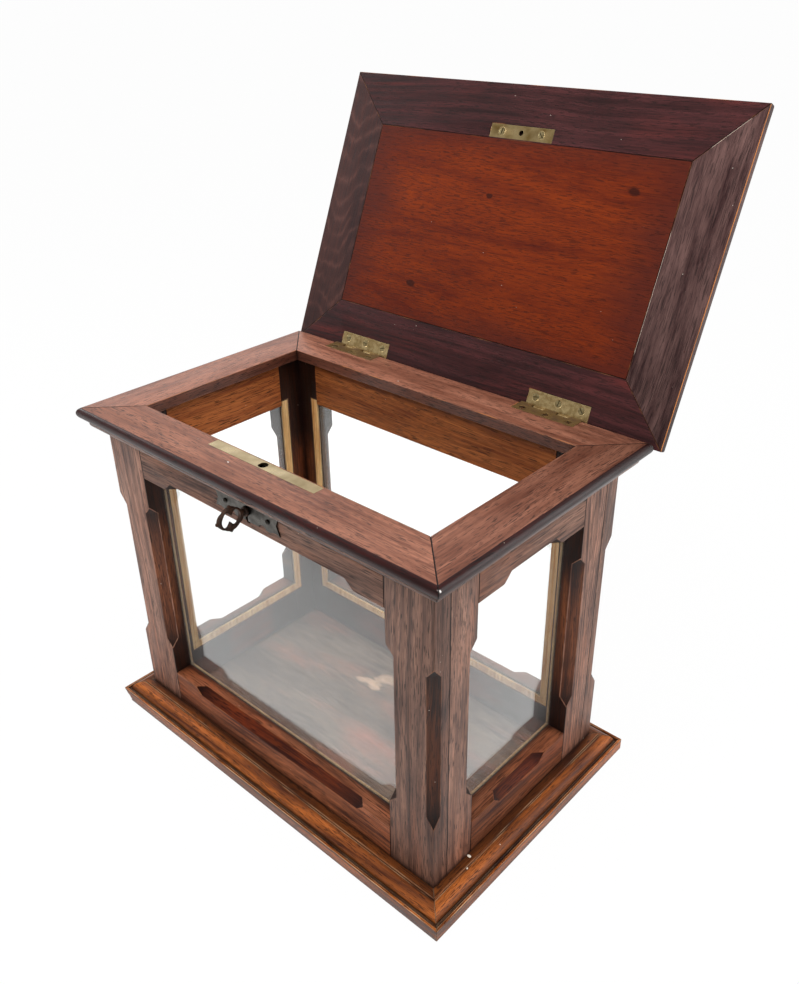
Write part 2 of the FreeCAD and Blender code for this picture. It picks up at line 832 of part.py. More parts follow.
def screw(name, x, y, z, axis, head_depth):
    """A slotted countersunk screw. Its head is level with z, and it points along axis."""
    way = -1 if axis == "-z" else 1
    head = cone(
        name + "_head",
        size("screw_head_radius"),
        size("screw_shank_radius"),
        head_depth,
        (x, y, z),
        axis,
    )
    shank = cylinder(name + "_shank", size("screw_shank_radius"), size("screw_length"), (x, y, z), axis)
    slot_half = size("screw_slot_width") / 2
    reach = size("screw_head_radius") + margin
    slot = box(
        name + "_slot",
        (x - reach, x + reach),
        (y - slot_half, y + slot_half),
        span(z - way * margin, z + way * size("screw_slot_depth")),
    )
    return cut(name, fuse(name + "_blank", [head, shank]), [slot])


def knuckle_spans(middle, first):
    """Spans along X of every second knuckle, starting at the one numbered first."""
    step = size("hinge_length") / KNUCKLES
    start = middle - size("hinge_length") / 2
    spans = []
    for index in range(first, KNUCKLES, 2):
        low = start + index * step
        high = low + step
        if index > 0:
            low = low + size("knuckle_gap") / 2
        if index < KNUCKLES - 1:
            high = high - size("knuckle_gap") / 2
        spans.append((low, high))
    return spans


def build_frame_leaf(hinge, middle):
    """The leaf let into the top frame: plate, three knuckles and countersunk holes."""
    name = hinge + "_hinge_frame_leaf"
    ends = (middle - size("hinge_length") / 2, middle + size("hinge_length") / 2)
    plate_back = axis_y - size("barrel_radius") - size("barrel_room")
    z_span = (case_top - size("leaf_thick"), case_top)
    solids = [box(name + "_plate", ends, (axis_y - size("leaf_reach"), plate_back), z_span)]
    for index, knuckle in enumerate(knuckle_spans(middle, 0)):
        tag = "%s_%d" % (name, index)
        start = (knuckle[0], axis_y, axis_z)
        length = knuckle[1] - knuckle[0]
        solids.append(cylinder(tag + "_knuckle", size("barrel_radius"), length, start, "+x"))
        solids.append(box(tag + "_strap", knuckle, (plate_back, axis_y), z_span))
        neck_low = axis_z + size("hinge_pin_radius") + size("pin_play")
        solids.append(box(tag + "_neck", knuckle, (axis_y - size("web_half"), axis_y), (neck_low, case_top)))
    bore = cylinder(
        name + "_bore",
        size("hinge_pin_radius"),
        size("hinge_length") + 2 * margin,
        (ends[0] - margin, axis_y, axis_z),
        "+x",
    )
    tools = [bore]
    for index in range(LEAF_SCREWS):
        hole_x = leaf_screw_x(middle, index)
        tag = "%s_sink_%d" % (name, index)
        tools.append(countersink(tag, hole_x, leaf_screw_y, case_top, "-z", size("leaf_thick")))
    piece(name, cut(name, fuse(name + "_blank", solids), tools))


def build_lid_leaf(hinge, middle):
    """The leaf let into the lid: plate, webs, two knuckles and countersunk holes."""
    name = hinge + "_hinge_lid_leaf"
    zero = as_length(0)
    ends = (middle - size("hinge_length") / 2, middle + size("hinge_length") / 2)
    z_span = (lid_under, lid_under + size("leaf_thick"))
    solids = [box(name + "_plate", ends, (-size("leaf_reach"), lid_back), z_span)]
    for index, knuckle in enumerate(knuckle_spans(middle, 1)):
        tag = "%s_%d" % (name, index)
        start = (knuckle[0], zero, zero)
        length = knuckle[1] - knuckle[0]
        solids.append(cylinder(tag + "_knuckle", size("barrel_radius"), length, start, "+x"))
        web_low = size("hinge_pin_radius") + size("pin_play")
        web = box(tag + "_web", knuckle, (-size("web_half"), size("web_half")), (web_low, z_span[1]))
        solids.append(web)
    bore = cylinder(
        name + "_bore",
        size("hinge_pin_radius") + size("pin_play"),
        size("hinge_length") + 2 * margin,
        (ends[0] - margin, zero, zero),
        "+x",
    )
    tools = [bore]
    for index in range(LEAF_SCREWS):
        hole_x = leaf_screw_x(middle, index)
        tag = "%s_sink_%d" % (name, index)
        sink = countersink(tag, hole_x, -size("leaf_screw_reach"), lid_under, "+z", size("leaf_thick"))
        tools.append(sink)
    piece(name, open_lid(cut(name, fuse(name + "_blank", solids), tools)))


def build_hinges():
    """Both hinges with their pins and screws."""
    pins = []
    frame_screws = []
    lid_screws = []
    for hinge, middle in HINGES:
        build_frame_leaf(hinge, middle)
        build_lid_leaf(hinge, middle)
        start = (middle - size("hinge_length") / 2, axis_y, axis_z)
        pins.append(cylinder(hinge + "_hinge_pin", size("hinge_pin_radius"), size("hinge_length"), start, "+x"))
        for index in range(LEAF_SCREWS):
            x = leaf_screw_x(middle, index)
            tag = "%s_%d" % (hinge, index)
            frame_screws.append(
                screw("frame_leaf_screw_" + tag, x, leaf_screw_y, case_top, "-z", size("leaf_thick"))
            )
            lid_screws.append(
                screw(
                    "lid_leaf_screw_" + tag,
                    x,
                    -size("leaf_screw_reach"),
                    lid_under,
                    "+z",
                    size("leaf_thick"),
                )
            )
    piece("hinge_pins", group("hinge_pins", pins))
    piece("frame_leaf_screws", group("frame_leaf_screws", frame_screws))
    piece("lid_leaf_screws", open_lid(group("lid_leaf_screws", lid_screws)))


# The strike plate on the lid and the lock in the case share one line.
lock_y = size("lock_line") - half_depth
strike_y = lock_y - axis_y
selvedge_front = lock_y - size("selvedge_width") / 2
lock_front = selvedge_front
lock_top = case_top - size("selvedge_thick")
lock_low = lock_top - size("lock_height")
lock_back = lock_front + size("lock_depth")
key_z = case_top - size("key_drop")


def build_lid():
    """The lid: four mitred boards with a moulded edge, and a panel held in their groove."""
    border = size("lid_border")
    groove_end = size("tongue_reach") + size("tongue_spare") - border
    groove_low = lid_under + size("tongue_low")
    groove_high = groove_low + size("tongue_thick")
    top = lid_under + size("lid_thick")
    zero = as_length(0)
    profile = [
        (-border, lid_under),
        (zero, lid_under),
        (zero, lid_under + size("lid_edge")),
        (-size("lid_round"), top, size("lid_bulge")),
        (-border, top),
        (-border, groove_high),
        (groove_end, groove_high),
        (groove_end, groove_low),
        (-border, groove_low),
    ]
    boards = around_case("lid", lid_middle, lid_half_width, lid_half_depth, profile)
    name = "lid_front_rail"
    tools = [
        box(
            name + "_strike_seat",
            (-size("strike_length") / 2, size("strike_length") / 2),
            (strike_y - size("strike_width") / 2, strike_y + size("strike_width") / 2),
            (lid_under - margin, lid_under + size("strike_thick")),
        ),
        cylinder(
            name + "_rivet_hole",
            size("strike_hole_radius"),
            size("strike_hole_depth"),
            (zero, strike_y, lid_under),
            "+z",
        ),
    ]
    for end in (-1, 1):
        hole_x = end * size("strike_screw_pitch") / 2
        tools.append(screw_hole("%s_hole_%d" % (name, end + 1), hole_x, strike_y, lid_under, "+z"))
    piece(name, open_lid(cut(name, boards["front"], tools)))
    name = "lid_back_rail"
    tools = []
    for hinge, middle in HINGES:
        tools.append(
            box(
                "%s_%s_leaf_seat" % (name, hinge),
                (middle - size("hinge_length") / 2, middle + size("hinge_length") / 2),
                (-size("leaf_reach"), lid_back + margin),
                (lid_under - margin, lid_under + size("leaf_thick")),
            )
        )
        for index in range(LEAF_SCREWS):
            tag = "%s_%s_hole_%d" % (name, hinge, index)
            x = leaf_screw_x(middle, index)
            tools.append(screw_hole(tag, x, -size("leaf_screw_reach"), lid_under, "+z"))
    piece(name, open_lid(cut(name, boards["back"], tools)))
    piece("lid_left_stile", open_lid(boards["left"]))
    piece("lid_right_stile", open_lid(boards["right"]))
    core_x = lid_half_width - border - size("panel_gap")
    core_y = lid_half_depth - border - size("panel_gap")
    tongue_x = lid_half_width - border + size("tongue_reach")
    tongue_y = lid_half_depth - border + size("tongue_reach")
    core = box(
        "lid_panel_core",
        (-core_x, core_x),
        (lid_middle - core_y, lid_middle + core_y),
        (lid_under, lid_under + size("panel_thick")),
    )
    tongue = box(
        "lid_panel_tongue",
        (-tongue_x, tongue_x),
        (lid_middle - tongue_y, lid_middle + tongue_y),
        (groove_low, groove_high),
    )
    piece("lid_panel", open_lid(fuse("lid_panel", [core, tongue])))


def build_strike():
    """The strike plate on the lid, with an empty stud hole and two screws."""
    zero = as_length(0)
    plate = box(
        "strike_plate_blank",
        (-size("strike_length") / 2, size("strike_length") / 2),
        (strike_y - size("strike_width") / 2, strike_y + size("strike_width") / 2),
        (lid_under, lid_under + size("strike_thick")),
    )
    tools = [
        cylinder(
            "strike_plate_hole",
            size("strike_hole_radius"),
            size("strike_thick") + 2 * margin,
            (zero, strike_y, lid_under - margin),
            "+z",
        )
    ]
    screws = []
    for end in (-1, 1):
        x = end * size("strike_screw_pitch") / 2
        tag = "%d" % (end + 1)
        tools.append(
            countersink("strike_plate_sink_" + tag, x, strike_y, lid_under, "+z", size("strike_thick"))
        )
        screws.append(screw("strike_screw_" + tag, x, strike_y, lid_under, "+z", size("strike_thick")))
    piece("strike_plate", open_lid(cut("strike_plate", plate, tools)))
    piece("strike_screws", open_lid(group("strike_screws", screws)))


def lock_room(owner):
    """Room in the wood for the lock case."""
    return box(
        owner + "_lock_room",
        (-size("lock_width") / 2, size("lock_width") / 2),
        (lock_front, selvedge_front + size("selvedge_width")),
        (lock_low, case_top + margin),
    )


def keyhole_tools(owner, room, y_span):
    """A keyhole through the front: a round hole and a slot below it."""
    slot_half = size("keyhole_slot") / 2 + room
    length = y_span[1] - y_span[0]
    return [
        cylinder(owner + "_keyhole", size("keyhole_radius") + room, length, (as_length(0), y_span[0], key_z), "+y"),
        box(owner + "_keyslot", (-slot_half, slot_half), y_span, (key_z - size("keyhole_drop") - room, key_z)),
    ]


def build_lock():
    """The box lock: case with its face strip, cap with the drill pin, and bolt."""
    half = size("lock_width") / 2
    sheet_thick = size("lock_sheet")
    zero = as_length(0)
    cap_front = lock_back - sheet_thick
    strip = box(
        "lock_selvedge",
        (-size("selvedge_length") / 2, size("selvedge_length") / 2),
        (selvedge_front, selvedge_front + size("selvedge_width")),
        (lock_top, case_top),
    )
    shell = box("lock_shell", (-half, half), (lock_front, lock_back), (lock_low, lock_top))
    hollow = box(
        "lock_hollow",
        (sheet_thick - half, half - sheet_thick),
        (lock_front + sheet_thick, lock_back + margin),
        (lock_low + sheet_thick, lock_top),
    )
    stud_hole = cylinder(
        "lock_stud_hole",
        size("stud_hole_radius"),
        size("selvedge_thick") + margin,
        (zero, lock_y, lock_top),
        "+z",
    )
    front_span = (lock_front - margin, lock_front + sheet_thick + margin)
    holes = keyhole_tools("lock_case", zero, front_span)
    piece("lock_case", cut("lock_case", fuse("lock_blank", [strip, shell]), [hollow, stud_hole] + holes))
    cap_plate = box(
        "lock_cap_plate",
        (sheet_thick - half, half - sheet_thick),
        (cap_front, lock_back),
        (lock_low + sheet_thick, lock_top),
    )
    pin_start = cap_front - size("drill_pin_length")
    pin_length = size("drill_pin_length") + sheet_thick
    drill_pin = cylinder("lock_drill_pin", size("drill_pin_radius"), pin_length, (zero, pin_start, key_z), "+y")
    piece("lock_cap", fuse("lock_cap", [cap_plate, drill_pin]))
    play = size("bolt_play")
    bolt_left = -size("bolt_length") / 2 - size("bolt_travel") / 2
    y_span = (lock_front + sheet_thick + play, cap_front - play)
    bolt_top = lock_top - play
    bolt_low = bolt_top - size("bolt_height")
    bar = box("lock_bolt_bar", (bolt_left, bolt_left + size("bolt_length")), y_span, (bolt_low, bolt_top))
    talon_middle = -size("bolt_travel") / 2
    talon = box(
        "lock_bolt_talon",
        (talon_middle - size("talon_width") / 2, talon_middle + size("talon_width") / 2),
        (y_span[0] - margin, y_span[1] + margin),
        (bolt_low - margin, bolt_low + size("talon_depth")),
    )
    gap = box(
        "lock_bolt_hook_gap",
        (-size("hook_gap") / 2, size("hook_gap") / 2),
        (y_span[0] - margin, y_span[1] + margin),
        (bolt_top - size("hook_depth"), bolt_top + margin),
    )
    piece("lock_bolt", cut("lock_bolt", bar, [talon, gap]))


def plate_pin_holes(owner):
    """Holes in the front rail for the escutcheon's two pins."""
    holes = []
    for end in (-1, 1):
        start = (end * size("plate_pin_reach"), -half_depth - margin, key_z)
        radius = size("plate_pin_radius") + size("screw_play")
        length = size("plate_pin_length") + margin
        holes.append(cylinder("%s_pin_hole_%d" % (owner, end + 1), radius, length, start, "+y"))
    return holes


def build_escutcheon():
    """The plate round the keyhole: scooped edges, swallow-tail ends, and two round-headed pins."""
    body = doc.addObject("PartDesign::Body", "escutcheon_body")
    sketch = new_sketch(body, "escutcheon_outline", "XZ_Plane", half_depth + size("plate_thick") / 2)
    half = size("plate_half_height")
    scoop_start = size("plate_scoop_start")
    scoop_end = scoop_start + size("plate_scoop_width")
    lobe_end = scoop_end + size("plate_lobe_width")
    tip = size("plate_half_length")
    dip = size("plate_scoop_depth")
    outline = []
    for end in (1, -1):
        outline += [
            (end * scoop_start, key_z - end * half),
            (end * scoop_end, key_z - end * half, -dip),
            (end * lobe_end, key_z - end * half),
            (end * tip, key_z - end * half, -dip / 2),
            (end * (tip - size("plate_tail")), key_z),
            (end * tip, key_z + end * half),
            (end * lobe_end, key_z + end * half, -dip / 2),
            (end * scoop_end, key_z + end * half),
            (end * scoop_start, key_z + end * half, -dip),
        ]
    draw_outline(sketch, outline)
    pad_both_ways(body, sketch, size("plate_thick"))
    y_span = (-half_depth - size("plate_thick") - margin, -half_depth + margin)
    tools = keyhole_tools("escutcheon", as_length(0), y_span)
    pins = []
    for end in (-1, 1):
        tag = "escutcheon_pin_%d" % (end + 1)
        x = end * size("plate_pin_reach")
        face = -half_depth - size("plate_thick")
        hole_radius = size("plate_pin_radius") + size("screw_play")
        hole_length = size("plate_thick") + 2 * margin
        tools.append(cylinder(tag + "_hole", hole_radius, hole_length, (x, face - margin, key_z), "+y"))
        length = size("plate_thick") + size("plate_pin_length")
        shank = cylinder(tag + "_shank", size("plate_pin_radius"), length, (x, face, key_z), "+y")
        ball = sphere(tag + "_ball", size("plate_pin_head"), (x, face, key_z))
        reach = size("plate_pin_head") + margin
        half_space = box(
            tag + "_flat",
            (x - reach, x + reach),
            (face, face + reach),
            (key_z - reach, key_z + reach),
        )
        head = cut(tag + "_head", ball, [half_space])
        pins.append(fuse(tag, [head, shank]))
    piece("escutcheon", cut("escutcheon", body, tools))
    piece("escutcheon_pins", group("escutcheon_pins", pins))


def build_key():
    """The pipe key: bored shank with bit, collar, and a bow with two openings and three knobs."""
    zero = as_length(0)
    end_y = lock_back - size("lock_sheet") - size("key_end_gap")
    collar_back = -half_depth - size("plate_thick") - size("collar_gap")
    collar_front = collar_back - size("collar_width")
    bow_back = collar_front - size("neck_length")
    bow_middle = bow_back - size("bow_half_length")
    shank_start = bow_back - size("bow_rim") / 2
    rod = cylinder("key_rod", size("shank_radius"), end_y - shank_start, (zero, shank_start, key_z), "+y")
    collar = cylinder(
        "key_collar", size("collar_radius"), size("collar_width"), (zero, collar_front, key_z), "+y"
    )
    bit_back = end_y - size("bit_back")
    bit = box(
        "key_bit",
        (-size("bit_thick") / 2, size("bit_thick") / 2),
        (bit_back - size("bit_width"), bit_back),
        (key_z - size("bit_drop"), key_z),
    )
    bow = doc.addObject("PartDesign::Body", "key_bow")
    rim = new_sketch(bow, "key_bow_rim", "YZ_Plane", zero)
    draw_oval(rim, bow_middle, key_z, size("bow_half_length"), size("bow_half_height"))
    pad_both_ways(bow, rim, size("bow_thick"))
    lobe_half = (size("bow_half_length") - size("bow_rim") + size("bow_cusp_gap") / 2) / 2
    lobe_height = size("bow_half_height") - size("bow_rim")
    for end in (-1, 1):
        lobe_middle = bow_middle + end * (lobe_half - size("bow_cusp_gap") / 2)
        lobe = new_sketch(bow, "key_bow_opening_%d" % (end + 1), "YZ_Plane", zero)
        draw_oval(lobe, lobe_middle, key_z, lobe_half, lobe_height)
        pocket_through(bow, lobe)
    knob_out = size("bow_knob_out")
    knob_places = [
        (zero, bow_middle - size("bow_half_length") - knob_out, key_z),
        (zero, bow_middle, key_z + size("bow_half_height") + knob_out),
        (zero, bow_middle, key_z - size("bow_half_height") - knob_out),
    ]
    knobs = []
    for index, middle in enumerate(knob_places):
        knobs.append(sphere("key_knob_%d" % index, size("bow_knob_radius"), middle))
    bore_radius = size("drill_pin_radius") + size("pin_play")
    bore_start = (zero, end_y - size("key_bore_depth"), key_z)
    bore = cylinder("key_bore", bore_radius, size("key_bore_depth") + margin, bore_start, "+y")
    blank = fuse("key_blank", [rod, collar, bit, bow] + knobs)
    piece("key", cut("key", blank, [bore]))


def draw_oval(sketch, middle_x, middle_y, half_x, half_y):
    """Draw an upright or lying oval as four arcs, two at its ends and two along its sides."""
    end_bulge = half_x * 0.42
    side_bulge = half_y * 0.30
    left = middle_x - half_x + end_bulge
    right = middle_x + half_x - end_bulge
    low = middle_y - half_y + side_bulge
    high = middle_y + half_y - side_bulge
    draw_outline(
        sketch,
        [
            (left, low, end_bulge),
            (right, low, side_bulge),
            (right, high, end_bulge),
            (left, high, side_bulge),
        ],
    )


build_floor()
build_plinth()
for wall_side in SIDES:
    current = Wall(wall_side)
    for stile_end in (-1, 1):
        build_stile(current, stile_end)
    build_rail(current, "bottom")
    build_rail(current, "top")
    build_glazing(current)
build_bed_moulding()
build_top_frame()
build_hinges()
build_lid()
build_strike()
build_lock()
build_escutcheon()
build_key()
doc.recompute()

for item in doc.Objects:
    if "Invalid" in item.State or "Error" in item.State:
        raise RuntimeError("%s did not build: %s" % (item.Name, item.State))
os.makedirs("parts", exist_ok=True)
for finished in pieces:
    if finished.Shape.isNull() or not finished.Shape.isValid():
        raise RuntimeError(finished.Label + " has no valid shape")
    if len(finished.Shape.Solids) == 0:
        raise RuntimeError(finished.Label + " holds no solid")
for finished in pieces:
    finished.Shape.exportStep("parts/%s.step" % finished.Label)
print("%d pieces, %d solids" % (len(pieces), sum(len(finished.Shape.Solids) for finished in pieces)))
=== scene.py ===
"""Glass display box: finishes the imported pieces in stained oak, mahogany, glass, brass and iron."""

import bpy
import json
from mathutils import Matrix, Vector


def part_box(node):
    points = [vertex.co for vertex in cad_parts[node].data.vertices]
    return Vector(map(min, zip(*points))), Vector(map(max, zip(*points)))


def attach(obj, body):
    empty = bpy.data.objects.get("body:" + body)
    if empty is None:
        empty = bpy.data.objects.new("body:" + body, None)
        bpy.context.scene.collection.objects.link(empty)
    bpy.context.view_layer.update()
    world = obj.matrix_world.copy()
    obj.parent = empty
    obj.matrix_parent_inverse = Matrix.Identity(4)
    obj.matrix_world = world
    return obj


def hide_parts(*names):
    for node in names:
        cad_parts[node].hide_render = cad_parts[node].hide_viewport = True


bl_info = {
    "name": "Glass Display Box",
    "version": (1, 0, 0),
    "blender": (4, 5, 0),
    "location": "View3D > Sidebar > Display Box",
    "description": "Finishes the pieces of a glazed oak display box and sets up its studio",
    "category": "Object",
}

import json
import math
import random
from functools import partial
from types import SimpleNamespace

import bmesh
import bpy
from bpy.props import FloatProperty, FloatVectorProperty, IntProperty, PointerProperty
from mathutils import Matrix, Vector
from mathutils.bvhtree import BVHTree

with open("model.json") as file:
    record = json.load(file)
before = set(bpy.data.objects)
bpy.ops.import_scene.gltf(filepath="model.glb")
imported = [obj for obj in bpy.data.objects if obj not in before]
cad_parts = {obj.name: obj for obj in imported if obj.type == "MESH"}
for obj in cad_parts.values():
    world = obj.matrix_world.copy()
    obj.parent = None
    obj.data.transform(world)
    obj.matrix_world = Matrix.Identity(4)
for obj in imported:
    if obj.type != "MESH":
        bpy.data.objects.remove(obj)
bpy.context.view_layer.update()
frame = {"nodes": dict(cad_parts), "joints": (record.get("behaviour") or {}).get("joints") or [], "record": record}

MM = 0.001
SIDES = ("front", "back", "left", "right")
ALONG_X = Vector((1, 0, 0))
ALONG_Y = Vector((0, 1, 0))
ALONG_Z = Vector((0, 0, 1))

RECORD = frame["record"]
BODY_OF = {node: body for body, nodes in RECORD["behaviour"]["bodies"].items() for node in nodes}
SLOT_OF = {part["node"]: part["material_slot"] for part in RECORD["subparts"]}
WOODEN = [node for node, slot in SLOT_OF.items() if "oak" in slot or "wood" in slot or "mahogany" in slot]
LID_HINGE = next(joint for joint in frame["joints"] if joint["name"] == "lid_hinge")
LID_SWING = math.radians(LID_HINGE["range_deg"][1])
LID_TURN = Matrix.Rotation(-LID_SWING, 3, ALONG_X)
LID_UP = LID_TURN @ -ALONG_Y
LID_FACING = LID_TURN @ -ALONG_Z

# Painted light: how bright a board is at its two ends, where that differs from its neighbours, mostly standing in
# for light that falls unevenly across the box, partly the board's own tone.
TONES_AND_LIGHT = {
    "front_left_stile": (1.0, 1.35), "front_right_stile": (0.68, 0.92), "right_front_stile": (1.1, 1.1),
    "right_back_stile": (1.2, 1.6), "left_top_rail": (1.6, 1.6), "top_frame_left": (1.25, 1.25),
    "top_frame_right": (0.9, 0.52), "top_frame_back": (1.25, 0.82), "lid_left_stile": (0.85, 1.05),
    "lid_right_stile": (0.8, 1.25), "lid_front_rail": (0.8, 0.92), "lid_back_rail": (1.0, 1.2),
    "front_top_rail": (0.95, 0.8), "plinth_front": (1.15, 1.0), "plinth_right": (0.9, 1.15),
}
# Boards differ in brightness by this share, and are cut from anywhere in a plank this many millimetres long.
TONE_SPREAD = 0.12
PLANK = 2000

# Chips and worn patches: the place in millimetres, then radius and strength.
PLINTH_CHIPS = (
    (155.6, -58.1, 17.4, 1.2, 1.0), (159.5, -65.2, 15.5, 0.7, 1.0), (163.7, -34.6, 14.0, 0.7, 1.0),
)
TOP_CHIPS = (
    (166.5, -105.6, 265.0, 1.1, 1.0), (-19.9, -88.7, 267.1, 0.6, 1.0), (-26.6, 77.1, 267.1, 0.8, 0.8),
)
FLOOR_PATCH = (
    (-34, 32, 6, 4, 0.6), (-27, 36, 6, 5, 0.6), (-20, 38, 6, 6, 0.6), (-15, 48, 6, 6, 0.6),
    (-18, 31, 6, 4, 0.6),
)
# Knots of the lid's panel: millimetres right of and above its middle, then radius and strength.
PANEL_KNOTS = ((-12.8, 30.0, 2.0, 0.8), (100.5, 48.0, 3.6, 0.8), (-66.5, -44.0, 2.8, 0.8))
# Dark lines along the mouldings, painted shade with some dirt: on the plinth under its cap's edge, in its quirk
# and over its lit cap; on the bed moulding under the nose and under its bead. Height and half width in
# millimetres, then strength.
PLINTH_DIRT_AND_SHADE_LINES = ((15.7, 0.3, 0.8), (8.3, 0.8, 0.65), (17.7, 0.7, 0.55))
MOULDING_SHADOW_LINES = ((257.0, 0.4, 0.8), (253.4, 0.3, 0.7))

# Shapes: points nearer than WELD are one, and angles say what is flat, rounded or left sharp.
WELD = 0.002 * MM
FLAT_WITHIN = math.radians(0.5)
EASED_FROM = math.radians(35)
EASED_STEPS = 2
SHARP_FROM = math.radians(20)
SCREW_SHARP_FROM = math.radians(40)
SEAM_REACH = 0.8 * MM
LUMP_SIZE = 20 * MM
LUMP_CUTS = 9
KEY_VOXEL = 0.12 * MM
KEY_SMOOTHING = {"factor": 0.5, "iterations": 4}
SHANK_LENGTH = 5 * MM
SHANK_TAPER = 0.5
RIM_DEPTH = 0.01 * MM
# A face looks along a direction, slants between directions, or is level, by these cosines.
ALONG_FROM = 0.9
SLANT_TO = 0.95
LEVEL_FROM = 0.96
NOSE_FROM = 0.1
# The top frame's inner edges are painted with this share of the shade that its nose is painted with.
REVEAL_SHADE = 0.6

# Sizes of what every timber shows, in millimetres.
SWAY_SIZE = 55
SWAY_REACH = (0, 16, 16)
ARC_WANDER = 70.0
ARC_PATCH = 18
FIBRE_SIZE = 2.0
WARM_SIZE = 28
FOOT_WANDER = 40
FOOT_TOP = 115
FOOT_FULL = 62
RAGGED_SIZE = 6
GAP_SIZE = 40
DIRT_AND_SHADE_REACH = 7
LINE_WANDER = 1.2
LINE_EDGE = (1.0, 0.4)
SPECK_SIZE = 1.8
RELIEF_DEPTH = 0.15
# Slow patterns run four times as far along a board as across it, and dark lines five times as far as pores.
SLOW_DRAW = (0.25, 1, 1)
LINE_DRAW = 0.2
# Rings are folds in a noise five rings wide.
RING_SCALE = 0.2
RING_FOLDS = 18.0
PORES_IN_RINGS = 0.08
FIBRE_SHARE = 1.4
RIM_WANDER = 0.6
MARK_DRAW = (0.6 / MM, 1 / MM, 1 / MM)
MARK_RAGGED = 3.0
MARK_EDGE = (2.4, 2.1)
PORE_RELIEF = -0.7
SHEEN_SPREAD = 0.2
# Levels between which a pattern comes in, and how strong it gets where that is less than whole.
ARC_FROM, ARC_FULL = 0.36, 0.6
PORE_FROM, PORE_FULL = 0.63, 0.66
LINE_FROM, LINE_FULL, LINE_MOST = 0.54, 0.68, 0.6
WARM_FROM, WARM_FULL, WARM_MOST = 0.5, 0.68, 0.7
RIM_FROM, RIM_FULL, RIM_MOST = 1.0, 1.25, 0.8
END_FROM, END_FULL = 0.6, 0.95
RUB_RISE = 0.2
CHALK_FROM, CHALK_FULL = 0.52, 0.56
DIRT_AND_SHADE_FROM, DIRT_AND_SHADE_FULL = 0.9, 0.45
SPECK_FROM, SPECK_FULL, SPECK_MOST = 0.90, 0.93, 0.7
SHEEN_FROM, SHEEN_FULL = 0.35, 0.65

# Sizes and levels of the metals and the glass, in millimetres.
GRIT_SIZE = 0.7
CREVICE_REACH = 0.9
CLOUD_FROM, CLOUD_FULL = 0.25, 0.75
SPOT_FROM, SPOT_FULL, SPOT_MOST = 0.62, 0.74, 0.5
CREVICE_FROM, CREVICE_FULL, CREVICE_MOST = 0.9, 0.5, 0.85
FILM_SIZE = 30
PER_MM = (1 / MM, 1 / MM, 1 / MM)

# The studio, in metres.
PAPER_HALF = 30.0
PAPER_DROP = -0.0001
PAPER_FADE = 0.14
PAPER_WHITE = 0.97
PAPER_MIRRORED = 1.25
ROOM_FROM, ROOM_FULL = 0.2, 0.55
LAMP_AIM = Vector((0, 0, 0.2))
NEAREST_SEEN = 0.01


def linear(hex_colour):
    """Linear RGB of an sRGB hex colour."""
    shares = [int(hex_colour[place:place + 2], 16) / 255 for place in (1, 3, 5)]
    return tuple(s / 12.92 if s <= 0.04045 else ((s + 0.055) / 1.055) ** 2.4 for s in shares)


def colour(name, description, hex_colour):
    """A colour property whose default is an sRGB hex value."""
    return FloatVectorProperty(
        name=name, description=description, subtype="COLOR", size=3, min=0, max=1, default=linear(hex_colour)
    )


def length(name, description, millimetres):
    """A length property whose default is given in millimetres."""
    return FloatProperty(name=name, description=description, unit="LENGTH", default=millimetres * MM)


def position(name, description, metres):
    """A place property whose default is given in metres."""
    return FloatVectorProperty(
        name=name, description=description, subtype="XYZ", unit="LENGTH", size=3, default=metres
    )


def direction(name, description, vector):
    """A direction property."""
    return FloatVectorProperty(
        name=name, description=description, subtype="DIRECTION", size=3, default=vector
    )


def number(name, description, value):
    """A plain number property."""
    return FloatProperty(name=name, description=description, default=value)


def wattage(name, description, watts):
    """A lamp's power property."""
    return FloatProperty(name=name, description=description, subtype="POWER", default=watts)


